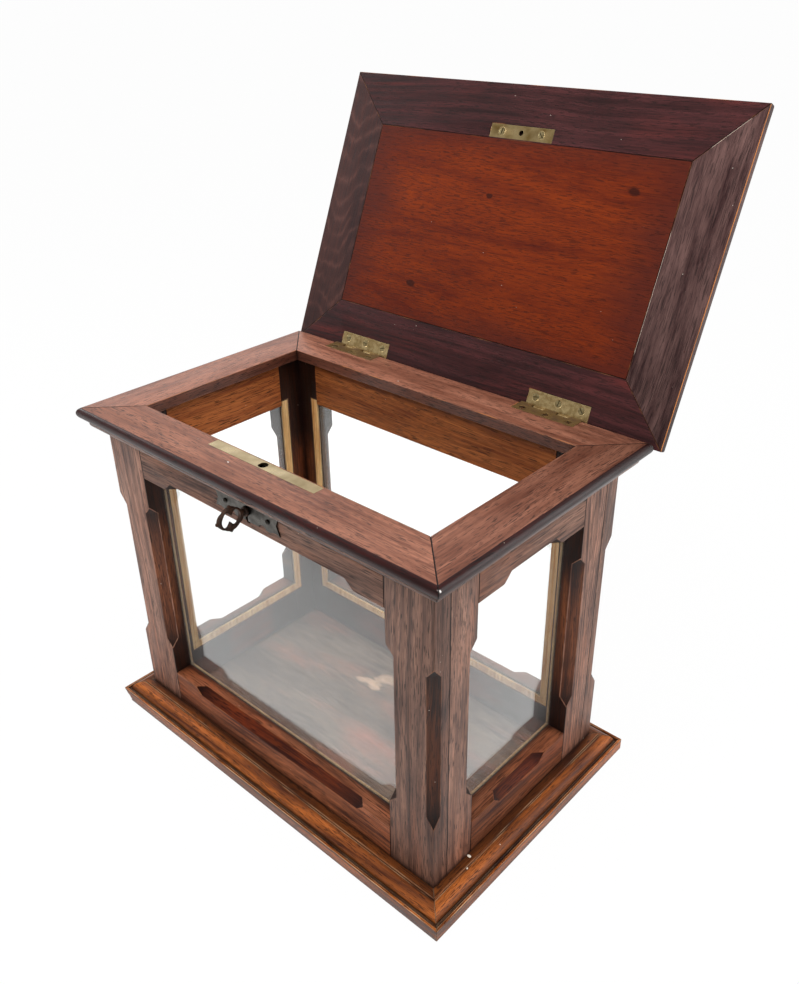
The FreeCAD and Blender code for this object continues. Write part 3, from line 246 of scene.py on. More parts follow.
class WoodSettings(bpy.types.PropertyGroup):
    """Stains of the timbers, the shade and highlights painted on them, and the size of their worn arrises."""

    wall_dark: colour("Wall dark", "Dark bands of the stained oak walls", "#3E231B")
    wall_light: colour("Wall light", "Light bands of the stained oak walls", "#A47A67")
    wall_warm: colour("Wall warm", "Redder patches of the stained oak walls", "#965C42")
    inner_dark: colour("Inner dark", "Dark bands of the rails' inner faces", "#6B3418")
    inner_light: colour("Inner light", "Light bands of the rails' inner faces", "#A25E30")
    top_dark: colour("Top dark", "Dark bands of the top frame", "#643828")
    top_light: colour("Top light", "Light bands of the top frame", "#A06A54")
    top_chip: colour("Top chip", "Fresh wood in the top frame's chips", "#F4ECE6")
    # Painted shade: the nose is painted dark where it turns from the light and mirrors the dark room.
    nose: colour("Nose", "Darkening of the top frame's rounded nose", "#5E2A2C")
    plinth_dark: colour("Plinth dark", "Dark bands of the plinth", "#46200F")
    plinth_light: colour("Plinth light", "Light bands of the plinth", "#B4632A")
    # Partly bare wood, partly painted highlight: paler than the wear alone, for the bright line along the cap's
    # edge.
    plinth_worn: colour("Plinth worn", "Bare wood of the plinth's rubbed arrises", "#CCA078")
    plinth_chip: colour("Plinth chip", "Fresh wood in the plinth's chips", "#F2E6D6")
    lid_dark: colour("Lid dark", "Dark bands of the lid frame", "#271011")
    lid_light: colour("Lid light", "Light bands of the lid frame", "#4C2425")
    lid_warm: colour("Lid warm", "Redder patches of the lid frame", "#6A241C")
    lid_arc: colour("Lid arc", "Arched rings of the lid's left stile", "#54322C")
    lid_figure: colour("Lid figure", "Grey streaks of the lid's right stile", "#604642")
    panel_dark: colour("Panel dark", "Dark bands of the mahogany panel", "#541A0A")
    panel_light: colour("Panel light", "Light bands of the mahogany panel", "#7C2E08")
    panel_edge: colour("Panel edge", "Darker stain along the panel's edges", "#4A1C14")
    knot: colour("Knot", "Pin knots of the mahogany panel", "#260C08")
    floor_dark: colour("Floor dark", "Dark bands of the floor board", "#28160F")
    floor_warm: colour("Floor warm", "Redder patches of the floor board", "#B45E46")
    floor_light: colour("Floor light", "Light bands of the floor board", "#84705F")
    floor_patch: colour("Floor patch", "Worn patch in the middle of the floor board", "#C8A488")
    bead_dark: colour("Bead dark", "Dark bands of the glazing beads", "#B87C3C")
    bead_light: colour("Bead light", "Light bands of the glazing beads", "#F2CC90")
    bead_back: colour("Bead back", "Darkening of the beads' faces against the panes", "#54443A")
    pore: colour("Pore", "Open pores filled with dark stain and wax", "#150B0A")
    # Partly gathered stain, partly painted shade: darkens chamfers and the walls' inward faces and reveals.
    stain_and_shade: colour("Gathered stain", "Darkening of chamfers and noses, where the stain gathers", "#B88E66")
    foot: colour("Foot", "Warmer stain low on the walls, above the plinth", "#E8B07C")
    # Partly pooled stain, partly painted shade at the recessed ends of the chamfers.
    pooled_and_shaded: colour("Pooled stain", "Stain left nearly black at the ends of the chamfers", "#55443C")
    # Partly bare wood, partly painted highlight along the chamfers' edges.
    worn: colour("Worn arris", "Bare wood where the stain is rubbed off an edge", "#B8743E")
    dust: colour("Dust", "Pale specks of dust and chipped stain", "#D8CCBE")
    arris: length("Arris", "Rounding of the rubbed wooden edges", 0.4)
    chip_height: length("Chip height", "Height of the chip broken from the plinth's corner", 8.6)
    chip_reach: length("Chip reach", "Reach of that chip along the plinth's foot", 6.5)
    chip_rough: length("Chip roughness", "Unevenness of that chip's face", 0.5)


class MetalSettings(bpy.types.PropertyGroup):
    """Colours of the fittings and the sizes of their screws."""

    brass_bright: colour("Brass bright", "Rubbed high parts of the brass", "#F0D49C")
    brass_dull: colour("Brass dull", "Tarnished brass", "#9C7E4A")
    # Partly dirt, partly painted reflection of the dark lid in the lower hinge leaves.
    brass_dirt_and_reflection: colour("Brass dirty", "Old wax and dirt on the lower hinge leaves", "#7A6048")
    screw_bright: colour("Screw bright", "Rubbed heads of the screws", "#F4E2AC")
    selvedge_bright: colour("Selvedge bright", "Wiped face strip of the lock", "#D8C49C")
    selvedge_dull: colour("Selvedge dull", "Dulled face strip of the lock", "#A08C66")
    iron_bright: colour("Iron bright", "Rubbed steel of the escutcheon", "#5E5B56")
    iron_dull: colour("Iron dull", "Blackened steel", "#34312E")
    rust: colour("Rust", "Brown rust of the key", "#5A3A28")
    fresh_rust: colour("Fresh rust", "Redder spots of the key's rust", "#7A4A2E")
    # Partly dirt, partly painted shade: laid into the fittings' occluded slots and corners.
    crevice_dirt_and_shade: colour("Crevice", "Black dirt in slots and corners", "#1C1612")
    edge: length("Edge", "Rounding of the metal edges", 0.15)
    slot_width: length("Slot width", "Width of a screw's slot", 0.7)
    slot_depth: length("Slot depth", "Depth of a screw's slot", 0.45)
    head_dome: length("Head dome", "Rise of a screw head from rim to middle", 0.3)
    seed: IntProperty(name="Seed", description="Turns of the screw slots", default=7)


class GlassSettings(bpy.types.PropertyGroup):
    """Colours of the panes."""

    clean: colour("Clean glass", "Glass where it is clean", "#FFFFFF")
    film: colour("Film", "Glass under its film of dust", "#F6F9F7")
    lamplight: colour("Lamp light", "Light that a pane lets through to the inside", "#F4F6F5")


class StageSettings(bpy.types.PropertyGroup):
    """Camera, backdrop and lights."""

    camera_place: position("Camera place", "Where the camera stands", (0.40983, -0.39670, 0.53590))
    camera_right: direction("Camera right", "Direction of the picture's right", (0.74061, 0.67178, -0.01425))
    camera_forward: direction("Camera forward", "Direction of the view", (-0.59015, 0.64019, -0.49181))
    lens: number("Lens", "Focal length on a 36 mm sensor, in millimetres", 34.0)
    paper: colour("Paper", "White paper sweep under and behind the box", "#F7F7F5")
    paper_edge: length("Paper edge", "Where the paper ends towards the camera, from the box's middle", -280.0)
    room_light: number("Room light", "Level of the soft light all round", 0.45)
    dark_room: number("Dark room", "Level of the room behind the camera", 0.3)
    through_glass: number("Through glass", "Level of the backdrop that is seen through the panes", 1.25)
    softbox_place: position("Softbox place", "Where the overhead softbox hangs", (0.2, -0.4, 1.5))
    softbox_size: length("Softbox size", "Width of the overhead softbox", 1400.0)
    softbox_power: wattage("Softbox", "Power of the overhead softbox", 24.0)
    fill_place: position("Fill place", "Where the side panel stands, at the back right", (0.9, 0.55, 0.4))
    fill_size: length("Fill size", "Width of the side panel", 600.0)
    fill_power: wattage("Fill", "Power of the side panel", 3.0)
    glint_place: position("Glint place", "Where the small lamp hangs, at the left", (-1.2, -0.2, 0.8))
    glint_size: length("Glint size", "Width of the small lamp", 150.0)
    glint_power: wattage("Glint", "Power of the small lamp", 2.2)


class DisplayBoxSettings(bpy.types.PropertyGroup):
    """All that a user may change."""

    wood: PointerProperty(type=WoodSettings, name="Wood", description="Stains and arrises")
    metal: PointerProperty(type=MetalSettings, name="Metal", description="Fittings")
    glass: PointerProperty(type=GlassSettings, name="Glass", description="Panes")
    stage: PointerProperty(type=StageSettings, name="Stage", description="Camera and lights")


def add(tree, kind, inputs=None, out=0, **settings):
    """Adds a node with its settings, links or sets its inputs, and hands on one of its outputs."""
    node = tree.nodes.new(kind)
    for name, value in settings.items():
        setattr(node, name, value)
    for key, value in (inputs or {}).items():
        socket = node.inputs[key]
        if isinstance(value, bpy.types.NodeSocket):
            tree.links.new(value, socket)
        elif socket.type == "RGBA":
            socket.default_value = (*value, 1.0)
        else:
            socket.default_value = value
    return node.outputs[out] if node.outputs else None


def new_material(name):
    """An empty node material, and the way to add nodes to it."""
    material = bpy.data.materials.new(name)
    material.use_nodes = True
    material.node_tree.nodes.clear()
    return material, partial(add, material.node_tree)


# What a timber shows unless its own material says otherwise. Sizes are in millimetres. Pores are drawn about
# twice as wide as they are in oak, because real ones would be too fine to show.
TIMBER = {
    "warm": None,        # colour of redder patches
    "ring": 4.0,         # width of a growth ring
    "figure": 0.35,      # how strongly the rings show
    "crest": 1.0,        # above 1, a ring keeps only a narrow pale crest
    "draw": 0.03,        # width of the grain over its length
    "arcs": None,        # spacing and bend of arched rings, in place of straight ones
    "tone_size": 16.0,   # size of the slow changes of tone
    "pore_size": 0.6,    # width of a pore
    "pore_draw": 0.08,   # width of a pore over its length
    "pore_depth": 0.9,   # how dark the pores are filled
    "gloss": 0.4,        # roughness where the wax is smoothest
    "shine": 0.5,        # strength of the reflection
    "coat": 0.0,         # weight of the polish over the stain
    "wear": 0.8,         # how far the arrises are rubbed back
    "wear_from": 0.5,    # how much of their length is left alone
    "worn": None,        # colour of the rubbed arrises, partly a painted highlight
    "seam": 1.0,         # strength of the dirt in the joints
    "chalk": 0.0,        # strength of the dirt and painted shade in corners and hollows
    "dirt": 0.8,         # strength of the dirt in corners
    "deep": None,        # what the gathered stain and painted shade on marked faces multiply the colour by
    "bare": None,        # dark and light bands of faces that were never stained
    "border": None,      # half sizes and colour of a darker rim
    "foot": 0.0,         # strength of the warmer stain above the plinth
    "ends": 0.0,         # strength of the darkening at the chamfers' ends, pooled stain and painted shade
    "bands": (),         # dark lines of painted shade and dirt along a moulding
    "marks": (),         # chips, knots and worn patches
}


def grain_of(put, look):
    """The figure of a timber: places in its board, slow tone, growth rings, fibres and pores."""
    plain = put("ShaderNodeAttribute", out="Vector", attribute_name="board_mm")
    slow = put("ShaderNodeVectorMath", {0: plain, 1: SLOW_DRAW}, operation="MULTIPLY")
    sway = put("ShaderNodeTexNoise", {"Vector": slow, "Scale": 1 / SWAY_SIZE, "Detail": 1.0}, out="Color")
    sway = put("ShaderNodeVectorMath", {0: sway, 1: (0.5, 0.5, 0.5)}, operation="SUBTRACT")
    board = put("ShaderNodeVectorMath", {0: sway, 1: SWAY_REACH, 2: plain}, operation="MULTIPLY_ADD")
    drawn = put("ShaderNodeVectorMath", {0: board, 1: (look.draw, 1, 1)}, operation="MULTIPLY")
    tone = put("ShaderNodeTexNoise", {"Vector": slow, "Scale": 1 / look.tone_size, "Detail": 3.0})
    if look.arcs:
        spacing, bend = look.arcs
        parts = put("ShaderNodeSeparateXYZ", {0: board}).node.outputs
        rings = put("ShaderNodeMath", {0: parts[1], 1: 2.0}, operation="POWER")
        rings = put("ShaderNodeMath", {0: rings, 1: bend, 2: parts[0]}, operation="MULTIPLY_ADD")
        rings = put("ShaderNodeMath", {0: tone, 1: ARC_WANDER, 2: rings}, operation="MULTIPLY_ADD")
        rings = put("ShaderNodeMath", {0: rings, 1: 2 / spacing}, operation="MULTIPLY")
    else:
        rings = put("ShaderNodeTexNoise", {"Vector": drawn, "Scale": RING_SCALE / look.ring, "Detail": 1.0})
        rings = put("ShaderNodeMath", {0: rings, 1: RING_FOLDS}, operation="MULTIPLY")
    rings = put("ShaderNodeMath", {0: rings, 1: 1.0}, operation="PINGPONG")
    rings = put("ShaderNodeMath", {0: rings, 1: look.crest}, operation="POWER")
    if look.arcs:
        fade = put("ShaderNodeTexNoise", {"Vector": plain, "Scale": 1 / ARC_PATCH, "Detail": 1.0})
        fade = put("ShaderNodeMapRange", {0: fade, 1: ARC_FROM, 2: ARC_FULL})
        rings = put("ShaderNodeMath", {0: rings, 1: fade}, operation="MULTIPLY")
    fibres = put("ShaderNodeTexNoise", {
        "Vector": drawn, "Scale": 1 / FIBRE_SIZE, "Detail": 5.0, "Roughness": 0.75,
    })
    dashed = put("ShaderNodeVectorMath", {0: board, 1: (look.pore_draw, 1, 1)}, operation="MULTIPLY")
    pores = put("ShaderNodeTexNoise", {"Vector": dashed, "Scale": 1 / look.pore_size, "Detail": 1.0})
    pores = put("ShaderNodeMath", {0: rings, 1: PORES_IN_RINGS, 2: pores}, operation="MULTIPLY_ADD")
    pores = put("ShaderNodeMapRange", {0: pores, 1: PORE_FROM, 2: PORE_FULL})
    line_draw = (LINE_DRAW * look.pore_draw, 1, 1)
    lined = put("ShaderNodeVectorMath", {0: board, 1: line_draw}, operation="MULTIPLY")
    lines = put("ShaderNodeTexNoise", {"Vector": lined, "Scale": 1 / look.pore_size, "Detail": 2.0})
    lines = put("ShaderNodeMapRange", {0: lines, 1: LINE_FROM, 2: LINE_FULL, 4: LINE_MOST})
    pores = put("ShaderNodeMath", {0: pores, 1: lines}, operation="MAXIMUM")
    return SimpleNamespace(plain=plain, slow=slow, tone=tone, rings=rings, fibres=fibres, pores=pores)


def stained(put, look, grain, dark, light):
    """The stain along the figure: bands of early and late wood, redder patches, bare faces, a darker rim and
    filled pores."""
    share = put("ShaderNodeMath", {0: grain.fibres, 1: FIBRE_SHARE, 2: grain.tone}, operation="MULTIPLY_ADD")
    share = put("ShaderNodeMath", {0: grain.rings, 1: look.figure, 2: share}, operation="MULTIPLY_ADD")
    middle = (FIBRE_SHARE + 1) / 2 + look.figure / (look.crest + 1)
    spread = 0.26 + 0.3 * look.figure
    share = put("ShaderNodeMapRange", {0: share, 1: middle - spread, 2: middle + spread})
    shade = put("ShaderNodeMix", {0: share, 6: dark, 7: light}, out=2, data_type="RGBA")
    if look.warm:
        patch = put("ShaderNodeTexNoise", {"Vector": grain.slow, "Scale": 1 / WARM_SIZE, "Detail": 2.0})
        patch = put("ShaderNodeMapRange", {0: patch, 1: WARM_FROM, 2: WARM_FULL, 4: WARM_MOST})
        patch = put("ShaderNodeMath", {0: patch, 1: share}, operation="MULTIPLY")
        shade = put("ShaderNodeMix", {0: patch, 6: shade, 7: look.warm}, out=2, data_type="RGBA")
    if look.bare:
        inside = put("ShaderNodeAttribute", out="Fac", attribute_name="bare")
        raw = put("ShaderNodeMix", {0: share, 6: look.bare[0], 7: look.bare[1]}, out=2, data_type="RGBA")
        shade = put("ShaderNodeMix", {0: inside, 6: shade, 7: raw}, out=2, data_type="RGBA")
    if look.border:
        half, stain = look.border
        reach = put("ShaderNodeVectorMath", {0: grain.plain, 1: (1 / half[0], 1 / half[1], 0)},
                    operation="MULTIPLY")
        reach = put("ShaderNodeVectorMath", {0: reach}, operation="ABSOLUTE")
        reach = put("ShaderNodeSeparateXYZ", {0: reach}).node.outputs
        rim = put("ShaderNodeMath", {0: reach[0], 1: reach[1]}, operation="MAXIMUM")
        rim = put("ShaderNodeMath", {0: grain.tone, 1: RIM_WANDER, 2: rim}, operation="MULTIPLY_ADD")
        rim = put("ShaderNodeMapRange", {0: rim, 1: RIM_FROM, 2: RIM_FULL, 4: RIM_MOST})
        shade = put("ShaderNodeMix", {0: rim, 6: shade, 7: stain}, out=2, data_type="RGBA")
    stains = bpy.context.scene.display_box.wood
    filled = put("ShaderNodeMath", {0: grain.pores, 1: look.pore_depth}, operation="MULTIPLY")
    shade = put("ShaderNodeMix", {0: filled, 6: shade, 7: stains.pore}, out=2, data_type="RGBA")
    # Painted light: each board's brightness from end to end, partly its own tone.
    board_brightness = put("ShaderNodeAttribute", out="Fac", attribute_name="board_tone_and_light")
    return put("ShaderNodeHueSaturation", {"Value": board_brightness, "Color": shade})


def pooled_and_shaded(put, look, grain, height, shade):
    """Warmer stain above the plinth, and painted shade with gathered stain on chamfers, noses, inward faces and
    reveals, nearly black at the chamfers' ends."""
    stains = bpy.context.scene.display_box.wood
    layers = []
    if look.foot:
        low = put("ShaderNodeMath", {0: grain.tone, 1: FOOT_WANDER * MM, 2: height}, operation="MULTIPLY_ADD")
        low = put("ShaderNodeMapRange", {0: low, 1: FOOT_TOP * MM, 2: FOOT_FULL * MM, 4: look.foot})
        layers.append((low, stains.foot))
    # Painted shade, with gathered stain: the marked faces are multiplied darker.
    stain_and_shade = put("ShaderNodeAttribute", out="Fac", attribute_name="stain_and_shade")
    layers.append((stain_and_shade, look.deep or stains.stain_and_shade))
    # Painted shade, with pooled stain: the chamfers' ends are painted nearly black.
    if look.ends:
        reach = put("ShaderNodeAttribute", out="Fac", attribute_name="chamfer_reach")
        reach = put("ShaderNodeMath", {0: reach}, operation="ABSOLUTE")
        reach = put("ShaderNodeMapRange", {0: reach, 1: END_FROM, 2: END_FULL, 4: look.ends})
        reach = put("ShaderNodeMath", {0: reach, 1: stain_and_shade}, operation="MULTIPLY")
        layers.append((reach, stains.pooled_and_shaded))
    for share, stain in layers:
        shade = put("ShaderNodeMix", {0: share, 6: shade, 7: stain}, out=2, data_type="RGBA",
                    blend_type="MULTIPLY")
    return shade


def worn_down(put, look, grain, here, height, shade):
    """The years on top of the stain: rubbed arrises, paler in places as painted highlight, dirt in joints, chips
    and specks of dust, and dirt with painted shade in corners and along the mouldings' lines.
    """
    stains = bpy.context.scene.display_box.wood
    edge = put("ShaderNodeAttribute", out="Fac", attribute_name="arris")
    ragged = put("ShaderNodeTexNoise", {"Vector": grain.slow, "Scale": 1 / RAGGED_SIZE, "Detail": 4.0})
    # Painted highlight, with wear: the rounded arrises are painted paler.
    rub_and_highlight = put("ShaderNodeMapRange", {
        0: ragged, 1: look.wear_from, 2: look.wear_from + RUB_RISE, 4: look.wear,
    })
    rub_and_highlight = put("ShaderNodeMath", {0: rub_and_highlight, 1: edge}, operation="MULTIPLY")
    joint = put("ShaderNodeAttribute", out="Fac", attribute_name="seam")
    joint = put("ShaderNodeMath", {0: joint, 1: look.seam}, operation="MULTIPLY")
    gap = put("ShaderNodeTexNoise", {"Vector": grain.plain, "Scale": 1 / GAP_SIZE, "Detail": 3.0})
    gap = put("ShaderNodeMapRange", {0: gap, 1: CHALK_FROM, 2: CHALK_FULL, 4: look.chalk})
    gap = put("ShaderNodeMix", {0: gap, 6: stains.pore, 7: stains.dust}, out=2, data_type="RGBA")
    # Painted shade: occluded corners and hollows are darkened together with their dirt.
    open_sky = put("ShaderNodeAmbientOcclusion", {"Distance": DIRT_AND_SHADE_REACH * MM}, out="AO", samples=6)
    grime_and_shade = put("ShaderNodeMapRange", {0: open_sky, 1: DIRT_AND_SHADE_FROM, 2: DIRT_AND_SHADE_FULL, 4: look.dirt})
    layers = [(rub_and_highlight, look.worn or stains.worn), (joint, gap), (grime_and_shade, stains.pore)]
    # Painted shade: dark lines along the mouldings, with some dirt.
    for middle, half, strength in look.bands:
        away = put("ShaderNodeMath", {0: height, 1: middle * MM}, operation="SUBTRACT")
        away = put("ShaderNodeMath", {0: away}, operation="ABSOLUTE")
        away = put("ShaderNodeMath", {0: grain.fibres, 1: LINE_WANDER * MM, 2: away},
                   operation="MULTIPLY_ADD")
        outer, inner = [(half + soft) * MM for soft in LINE_EDGE]
        layers.append((put("ShaderNodeMapRange", {0: away, 1: outer, 2: inner, 4: strength}), stains.pore))
    for place, radius, strength, stain in look.marks:
        away = put("ShaderNodeVectorMath", {0: here, 1: place}, operation="SUBTRACT")
        away = put("ShaderNodeVectorMath", {0: away, 1: MARK_DRAW}, operation="MULTIPLY")
        away = put("ShaderNodeVectorMath", {0: away}, out="Value", operation="LENGTH")
        away = put("ShaderNodeMath", {0: ragged, 1: MARK_RAGGED * radius, 2: away}, operation="MULTIPLY_ADD")
        outer, inner = [soft * radius for soft in MARK_EDGE]
        layers.append((put("ShaderNodeMapRange", {0: away, 1: outer, 2: inner, 4: strength}), stain))
    specks = put("ShaderNodeTexNoise", {"Vector": grain.plain, "Scale": 1 / SPECK_SIZE, "Detail": 0.0})
    specks = put("ShaderNodeMapRange", {0: specks, 1: SPECK_FROM, 2: SPECK_FULL, 4: SPECK_MOST})
    layers.append((specks, stains.dust))
    for share, stain in layers:
        shade = put("ShaderNodeMix", {0: share, 6: shade, 7: stain}, out=2, data_type="RGBA")
    return shade


def wood(name, dark, light, **changes):
    """Stained timber, sawn, planed and waxed: soft bands of early and late wood, open pores drawn out along
    the grain and filled dark, arrises rubbed back to bare wood and dirt in the joints. It reads each board's
    own millimetres."""
    look = SimpleNamespace(**{**TIMBER, **changes})
    material, put = new_material(name)
    grain = grain_of(put, look)
    here = put("ShaderNodeTexCoord", out="Object")
    height = put("ShaderNodeSeparateXYZ", {0: here}, out=2)
    shade = stained(put, look, grain, dark, light)
    shade = pooled_and_shaded(put, look, grain, height, shade)
    shade = worn_down(put, look, grain, here, height, shade)
    sheen = put("ShaderNodeMapRange", {
        0: grain.fibres, 1: SHEEN_FROM, 2: SHEEN_FULL, 3: look.gloss, 4: look.gloss + SHEEN_SPREAD,
    })
    grooves = put("ShaderNodeMath", {0: grain.pores, 1: PORE_RELIEF, 2: grain.fibres},
                  operation="MULTIPLY_ADD")
    relief = put("ShaderNodeBump", {"Strength": 0.35, "Distance": RELIEF_DEPTH * MM, "Height": grooves})
    surface = put("ShaderNodeBsdfPrincipled", {
        "Base Color": shade, "Roughness": sheen, "Normal": relief, "IOR": 1.5,
        "Specular IOR Level": look.shine, "Coat Weight": look.coat, "Coat Roughness": 0.15,
    })
    put("ShaderNodeOutputMaterial", {"Surface": surface})
    return material


def aged_metal(name, bright, dull, patch=6.0, rough=(0.24, 0.42), metallic=1.0, pit=0.12, rust=None):
    """Old cast or rolled metal, handled and left to tarnish: rubbed bright in places, dull in others, with fine
    pits, darker spots, edges made bright by wear and painted highlight, and crevices black with dirt and painted
    shade. Patch and pit are in millimetres."""
    material, put = new_material(name)
    place = put("ShaderNodeTexCoord", out="Object")
    place = put("ShaderNodeMapping", {"Vector": place, "Scale": PER_MM})
    cloud = put("ShaderNodeTexNoise", {"Vector": place, "Scale": 1 / patch, "Detail": 4.0})
    cloud = put("ShaderNodeMapRange", {0: cloud, 1: CLOUD_FROM, 2: CLOUD_FULL})
    grit = put("ShaderNodeTexNoise", {"Vector": place, "Scale": 1 / GRIT_SIZE, "Detail": 3.0})
    edge = put("ShaderNodeAttribute", out="Fac", attribute_name="arris")
    spots = put("ShaderNodeMapRange", {0: grit, 1: SPOT_FROM, 2: SPOT_FULL, 4: SPOT_MOST})
    # Painted shade: occluded crevices are blackened together with their dirt.
    open_sky = put("ShaderNodeAmbientOcclusion", {"Distance": CREVICE_REACH * MM}, out="AO", samples=6)
    grime_and_shade = put("ShaderNodeMapRange", {0: open_sky, 1: CREVICE_FROM, 2: CREVICE_FULL, 4: CREVICE_MOST})
    shade = put("ShaderNodeMix", {0: cloud, 6: dull, 7: bright}, out=2, data_type="RGBA")
    crevice_dirt_and_shade = bpy.context.scene.display_box.metal.crevice_dirt_and_shade
    # Painted highlight, with wear: the rounded edges are made bright.
    for share, coat in ((edge, bright), (spots, rust or dull), (grime_and_shade, crevice_dirt_and_shade)):
        shade = put("ShaderNodeMix", {0: share, 6: shade, 7: coat}, out=2, data_type="RGBA")
    smooth = put("ShaderNodeMapRange", {0: cloud, 3: rough[1], 4: rough[0]})
    relief = put("ShaderNodeBump", {"Strength": 0.15, "Distance": pit * MM, "Height": grit})
    surface = put("ShaderNodeBsdfPrincipled", {
        "Base Color": shade, "Metallic": metallic, "Roughness": smooth, "Normal": relief,
    })
    put("ShaderNodeOutputMaterial", {"Surface": surface})
    return material


def old_glass(colours):
    """Drawn sheet glass, clear with a faint film of dust that greys what lies behind it. The lamps' light
    passes straight through to the inside of the box."""
    material, put = new_material("drawn_sheet_glass")
    place = put("ShaderNodeTexCoord", out="Object")
    place = put("ShaderNodeMapping", {"Vector": place, "Scale": PER_MM})
    film = put("ShaderNodeTexNoise", {"Vector": place, "Scale": 1 / FILM_SIZE, "Detail": 5.0})
    tint = put("ShaderNodeMix", {0: film, 6: colours.clean, 7: colours.film}, out=2, data_type="RGBA")
    surface = put("ShaderNodeBsdfPrincipled", {
        "Base Color": tint, "Roughness": 0.0, "IOR": 1.5, "Transmission Weight": 1.0,
        "Sheen Weight": 0.1, "Sheen Roughness": 0.8,
    })
    shadow = put("ShaderNodeLightPath", out="Is Shadow Ray")
    clear = put("ShaderNodeBsdfTransparent", {"Color": colours.lamplight})
    both = put("ShaderNodeMixShader", {0: shadow, 1: surface, 2: clear})
    put("ShaderNodeOutputMaterial", {"Surface": both})
    return material


def part_solids(shape):
    """Parts solids that only touch, so that each is closed by itself."""
    waiting = dict.fromkeys(shape.faces)
    solids = []
    while waiting:
        solid = [waiting.popitem()[0]]
        for face in solid:
            for edge in face.edges:
                beside = [other for other in edge.link_faces if other in waiting]
                if len(edge.link_faces) == 2 and beside:
                    waiting.pop(beside[0])
                    solid.append(beside[0])
        solids.append(solid)
    for solid in solids[1:]:
        bmesh.ops.split(shape, geom=solid)


def welded(node):
    """A copy of the node's mesh with its loose triangles joined."""
    shape = bmesh.new()
    shape.from_mesh(frame["nodes"][node].data)
    bmesh.ops.remove_doubles(shape, verts=shape.verts, dist=WELD)
    return shape


def merged_copy(node):
    """The node's mesh with its triangles joined, its solids parted and its flat faces made whole."""
    shape = welded(node)
    part_solids(shape)
    bmesh.ops.dissolve_limit(shape, angle_limit=FLAT_WITHIN, verts=shape.verts, edges=shape.edges)
    bmesh.ops.connect_verts_concave(shape, faces=shape.faces)
    mesh = bpy.data.meshes.new(node + "_finished")
    shape.to_mesh(mesh)
    shape.free()
    return mesh


def with_modifiers(mesh, *modifiers):
    """The mesh after these modifiers, each a kind and its settings, as a plain mesh."""
    holder = bpy.data.objects.new(mesh.name, mesh)
    bpy.context.scene.collection.objects.link(holder)
    for kind, settings in modifiers:
        modifier = holder.modifiers.new(kind.lower(), kind)
        for name, value in settings.items():
            setattr(modifier, name, value)
    result = bpy.data.meshes.new_from_object(holder.evaluated_get(bpy.context.evaluated_depsgraph_get()))
    bpy.data.objects.remove(holder)
    bpy.data.meshes.remove(mesh)
    return result


def eased(mesh, width):
    """The mesh with its sharp edges rounded, and the rounded faces marked in an attribute."""
    name = mesh.name
    for slot in ("flat", "rounded"):
        mesh.materials.append(bpy.data.materials.get(slot) or bpy.data.materials.new(slot))
    mesh.shade_smooth()
    mesh = with_modifiers(mesh, ("BEVEL", {
        "width": width, "segments": EASED_STEPS, "limit_method": "ANGLE", "angle_limit": EASED_FROM,
        "material": 1, "use_clamp_overlap": False, "loop_slide": False,
    }))
    mesh.name = name
    mesh.set_sharp_from_angle(angle=SHARP_FROM)
    rounded = [float(face.material_index == 1) for face in mesh.polygons]
    mesh.attributes.new("arris", "FLOAT", "FACE").data.foreach_set("value", rounded)
    mesh.polygons.foreach_set("material_index", [0] * len(mesh.polygons))
    mesh.materials.clear()
    return mesh


def lay_grain(mesh, along, across, shift, end_tones_and_light):
    """Gives every point its millimetres along, across and through its board, and its brightness from end to end:
    partly the board's own tone, partly painted light.
    """
    turn = Matrix((along, across, along.cross(across)))
    places = [turn @ vertex.co / MM for vertex in mesh.vertices]
    spots = [value for place in places for value in place + shift]
    mesh.attributes.new("board_mm", "FLOAT_VECTOR", "POINT").data.foreach_set("vector", spots)
    start = min(place.x for place in places)
    stretch = max(place.x for place in places) - start
    shares = [end_tones_and_light[0] + (end_tones_and_light[1] - end_tones_and_light[0]) * (place.x - start) / stretch for place in places]
    mesh.attributes.new("board_tone_and_light", "FLOAT", "POINT").data.foreach_set("value", shares)


def centred(node, along, across):
    """The shift that puts the middle of a board at zero."""
    low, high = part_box(node)
    return Matrix((along, across, along.cross(across))) @ (low + high) / (-2 * MM)


def mark_bare(mesh, is_bare):
    """Marks the faces that were never stained."""
    bare = [float(is_bare(face.normal)) for face in mesh.polygons]
    mesh.attributes.new("bare", "FLOAT", "FACE").data.foreach_set("value", bare)


def mark_stain_and_shade(mesh, along, is_deep):
    """Marks the faces painted darker, partly as gathered stain and partly as painted shade, and how far points lie
    towards the chamfers' ends.
    """
    rounded = [entry.value for entry in mesh.attributes["arris"].data]
    deep = [is_deep(face.normal) * (1.0 - rounded[face.index]) for face in mesh.polygons]
    mesh.attributes.new("stain_and_shade", "FLOAT", "FACE").data.foreach_set("value", deep)
    chamfers = [face for face in mesh.polygons if slanting(face.normal) and rounded[face.index] == 0]
    if chamfers:
        spots = [mesh.vertices[k].co.dot(along) for face in chamfers for k in face.vertices]
        middle = (min(spots) + max(spots)) / 2
        half = (max(spots) - min(spots)) / 2
        reach = [(vertex.co.dot(along) - middle) / half for vertex in mesh.vertices]
        mesh.attributes.new("chamfer_reach", "FLOAT", "POINT").data.foreach_set("value", reach)


def slanting(normal):
    """True of a chamfer, which faces between the box's own directions."""
    return max(abs(part) for part in normal) < SLANT_TO


def never(normal):
    """True of no face."""
    return False


def shape_tree(node):
    """A node's triangles, ready for finding the nearest point."""
    mesh = frame["nodes"][node].data
    return BVHTree.FromPolygons([v.co for v in mesh.vertices], [tuple(p.vertices) for p in mesh.polygons])


